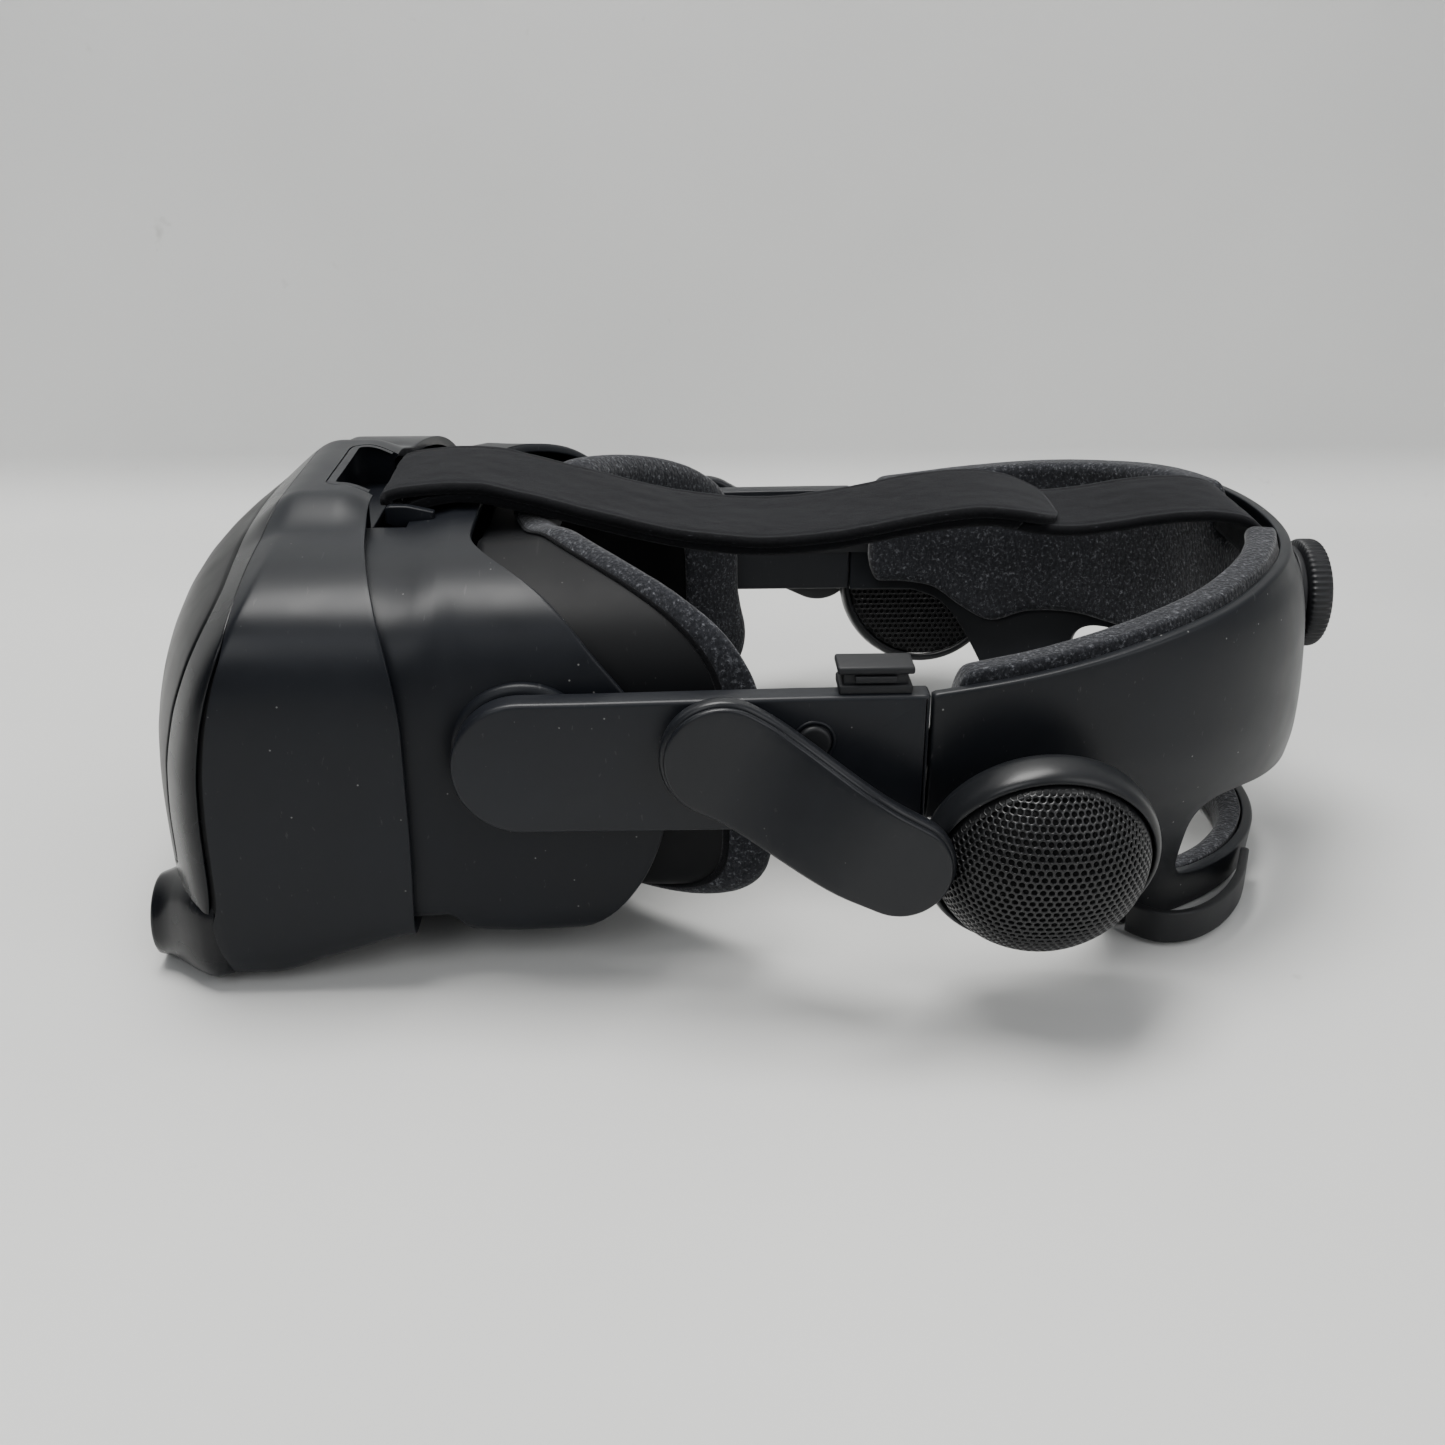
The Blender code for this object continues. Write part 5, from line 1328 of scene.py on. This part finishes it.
# ---------------------------------------------------------------- top strap
def ribbon(top_pts, thick, half, edge_r, t0=0.0, t1=1.0, per=10, end_round=0.0, stitch=True, wob=0.15):
    """A padded strap layer under these top points (x, z): crowned faces, rolled edges and a stitched line 3 mm in."""
    path = smooth(top_pts, per)
    L = [0.0]
    for a, b in zip(path, path[1:]):
        L.append(L[-1] + (b - a).length)
    n = int(L[-1] / 1.1)
    pts = [Vector((np.interp(L[-1] * i / n, L, [p.x for p in path]), np.interp(L[-1] * i / n, L, [p.y for p in path]))) for i in range(n + 1)]
    rings = []
    total = L[-1]
    for i, p in enumerate(pts):
        d = (pts[min(i + 1, n)] - pts[max(i - 1, 0)]).normalized()
        nrm = Vector((-d.y, d.x))
        if nrm.y < 0 and abs(d.x) > 0.3:
            nrm = -nrm
        left = total - total * i / n
        w = half
        if end_round and left < end_round:
            w = half - end_round + math.sqrt(max(0.0, end_round ** 2 - (end_round - left) ** 2))
        th = thick
        if left < 1.0:
            th = thick * max(0.15, math.sqrt(max(0.0, 1 - (1 - left) ** 2)))
        ring = []
        cols = 44
        half_t = th / 2
        section = []
        for k in range(cols + 1):
            y = -w + 2 * w * k / cols
            e = min(1.0, (w - abs(y)) / edge_r)
            up = half_t * math.sqrt(max(0.0, 1 - (1 - e) ** 2))
            groove = 0.28 * math.exp(-((w - abs(y) - 3.1) / 0.5) ** 2) if stitch else 0.0
            section.append((y, up - groove * min(1.0, e)))
        ring = [(y, u) for y, u in section] + [(y, -u) for y, u in section[::-1][1:-1]]
        row = []
        for y, u in ring:
            off = -half_t + u
            m = wob * (noise.noise(Vector((p.x * 0.06, y * 0.06, 3.0 + thick))) + 0.5 * noise.noise(Vector((p.x * 0.2, y * 0.2, 7.0))))
            row.append((p.x + nrm.x * (off + m), y, p.y + nrm.y * (off + m)))
        rings.append(row)
    return loft(rings)


UP = [(-98.4, 104.6), (-98.2, 107.4), (-94.4, 109.0), (-88.0, 109.8), (-80.0, 110.3), (-72.0, 109.9), (-66.0, 108.6), (-58.0, 106.6), (-50.0, 104.4), (-32.0, 99.6), (-15.0, 96.2), (0.0, 94.8), (15.0, 95.6), (30.0, 98.0), (46.0, 101.0), (60.0, 102.4), (72.0, 101.0), (81.6, 98.2)]
bm = ribbon(UP, 3.0, 21.0, 1.5, end_round=11.0, wob=0.28)
strap_a = make(bm, "looks_strap_upper", "felt")
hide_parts("top_strap_front")
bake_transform(strap_a)
LO = [(-96.4, 102.2), (-92.6, 103.4), (-89.0, 105.4), (-80.0, 107.2), (-72.0, 106.9), (-66.0, 105.7), (-58.0, 103.9), (-50.0, 101.8), (-32.0, 97.0), (-15.0, 93.6), (0.0, 92.2), (15.0, 93.0), (30.0, 95.3), (46.0, 98.2), (60.0, 99.6), (70.0, 98.4)]
bm = ribbon(LO, 2.4, 20.6, 1.2)
strap_b = make(bm, "looks_strap_lower", "felt2")
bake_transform(strap_b)
REAR = [(66.0, 99.0), (74.0, 97.4), (84.0, 96.6), (95.0, 97.8), (106.0, 99.4), (116.0, 100.3), (124.4, 100.1), (130.7, 98.8), (134.8, 96.0), (136.8, 92.4), (137.4, 88.0), (137.5, 83.6)]
bm = ribbon(REAR, 2.8, 19.5, 1.4, wob=0.25)
strap_c = make(bm, "looks_strap_rear", "felt2")
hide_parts("top_strap_rear")
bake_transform(strap_c)

# ---------------------------------------------------------------- CAD nodes that stay
KEPT = {
    "left_pivot_screw": "steel", "eye_relief_pinion": "steel", "dial_pinion": "steel", "optics_chassis": "dark",
    "left_lens_barrel": "dark", "right_lens_barrel": "dark", "left_lens": "lens", "right_lens": "lens",
    "left_display": "display", "right_display": "display", "main_board": "pcb", "heat_spreader": "alu",
    "ipd_rail": "steel", "frunk_tray": "dark", "usb_socket": "alu", "ipd_slider": "dark", "system_button": "dark",
}
SLOTS = {"steel": "steel", "dark": "dark", "lens": "lens", "display": "gloss", "pcb": "pcb", "alu": "alu"}
for name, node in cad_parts.items():
    if node.hide_render:
        continue
    mat = M[KEPT.get(name, "dark")]
    for i in range(max(1, len(node.material_slots))):
        if not node.material_slots:
            node.data.materials.append(mat)
        else:
            node.material_slots[i].link = "OBJECT"
            node.material_slots[i].material = mat

# ---------------------------------------------------------------- stage
def stage_sheet():
    """Floor that runs up into the backdrop with a soft bend, with faint creases and scuffs."""
    m = Nodes("paper_sweep")
    b = m.bsdf
    cloud = m.noise(2.2, 3.0, 0.5)
    spots = m.noise(21.0, 4.0, 0.75)
    marks = m.noise(95.0, 2.0, 0.6)
    base = m.mix(m.range(cloud, 0.35, 0.65, 0.0, 1.0), (0.53, 0.535, 0.53), (0.62, 0.622, 0.612))
    base = m.mix(m.math("MULTIPLY", m.range(spots, 0.66, 0.72, 0.0, 1.0), m.range(marks, 0.5, 0.62, 0.0, 0.35)), base, (0.22, 0.21, 0.20))
    m.link(base, b.inputs["Base Color"])
    b.inputs["Roughness"].default_value = 0.55
    b.inputs["Specular IOR Level"].default_value = 0.3
    fine = m.noise(160.0, 3.0, 0.6)
    n = m.bump(fine, 0.12, 0.0006)
    n = m.bump(m.noise(14.0, 2.0, 0.5), 0.15, 0.003, n)
    m.link(n, b.inputs["Normal"])
    bm = bmesh.new()
    prof = [(-1.6, 0.0)] + [(-0.6 + 0.9 * i / 12, 0.0) for i in range(13)]
    for i in range(1, 9):
        a = math.pi / 2 * i / 8
        prof.append((0.30 + 0.03 * math.sin(a), 0.03 * (1 - math.cos(a))))
    prof += [(0.33, 0.03 + 1.4 * i / 10) for i in range(1, 11)]
    xs = [-2.2 + 4.4 * i / 44 for i in range(45)]
    rows = []
    for y, z in prof:
        rows.append([bm.verts.new((x, y, z - 0.0002)) for x in xs])
    for a, b2 in zip(rows, rows[1:]):
        for i in range(len(xs) - 1):
            bm.faces.new((a[i], a[i + 1], b2[i + 1], b2[i]))
    me = bpy.data.meshes.new("floor")
    bm.to_mesh(me)
    bm.free()
    me.shade_smooth()
    obj = bpy.data.objects.new("floor", me)
    COL.objects.link(obj)
    me.materials.append(m.mat)
    return obj


stage_sheet()


def light(name, kind, loc, target, size, energy, colour=(1, 1, 1), size_y=None):
    data = bpy.data.lights.new(name, kind)
    data.energy = energy
    data.color = colour
    if kind == "AREA":
        data.shape = "RECTANGLE"
        data.size = size
        data.size_y = size_y or size
    obj = bpy.data.objects.new(name, data)
    COL.objects.link(obj)
    obj.location = loc
    obj.rotation_mode = "QUATERNION"
    obj.rotation_quaternion = (Vector(target) - Vector(loc)).to_track_quat("-Z", "Y")
    return obj


light("key", "AREA", (-0.15, 0.10, 1.15), (0.0, 0.0, 0.05), 0.8, 25.0, (1.0, 0.99, 0.97), 0.5)
light("side", "AREA", (-0.55, -1.15, 1.0), (0.0, 0.0, 0.05), 0.7, 5.5, (0.97, 0.985, 1.0))
light("fill", "AREA", (0.9, -0.9, 0.9), (0.0, 0.0, 0.05), 1.0, 7.0, (1.0, 0.99, 0.98))
world = bpy.context.scene.world or bpy.data.worlds.new("world")
bpy.context.scene.world = world
world.use_nodes = True
bg = world.node_tree.nodes.get("Background") or world.node_tree.nodes.new("ShaderNodeBackground")
bg.inputs["Color"].default_value = (0.93, 0.96, 1.0, 1.0)
bg.inputs["Strength"].default_value = 0.36
# the room is darker on the visor's side
tree = world.node_tree
split = tree.nodes.new("ShaderNodeSeparateXYZ")
fade = tree.nodes.new("ShaderNodeMapRange")
for key, value in (("From Min", -0.9), ("From Max", 0.5), ("To Min", 0.07), ("To Max", 0.44)):
    fade.inputs[key].default_value = value
tree.links.new(tree.nodes.new("ShaderNodeTexCoord").outputs["Generated"], split.inputs["Vector"])
tree.links.new(split.outputs["X"], fade.inputs["Value"])
tree.links.new(fade.outputs["Result"], bg.inputs["Strength"])

# ---------------------------------------------------------------- camera
cam_data = bpy.data.cameras.new("camera")
cam = bpy.data.objects.new("camera", cam_data)
COL.objects.link(cam)
cam.location = (-0.0218, -0.4255, 0.2212)
cam.rotation_mode = "QUATERNION"
cam.rotation_quaternion = Vector((0.0295, 0.9139, -0.4048)).to_track_quat("-Z", "Y")
cam_data.sensor_width = 36.0
cam_data.lens = 39.86
cam_data.clip_start = 0.01
bpy.context.scene.camera = cam
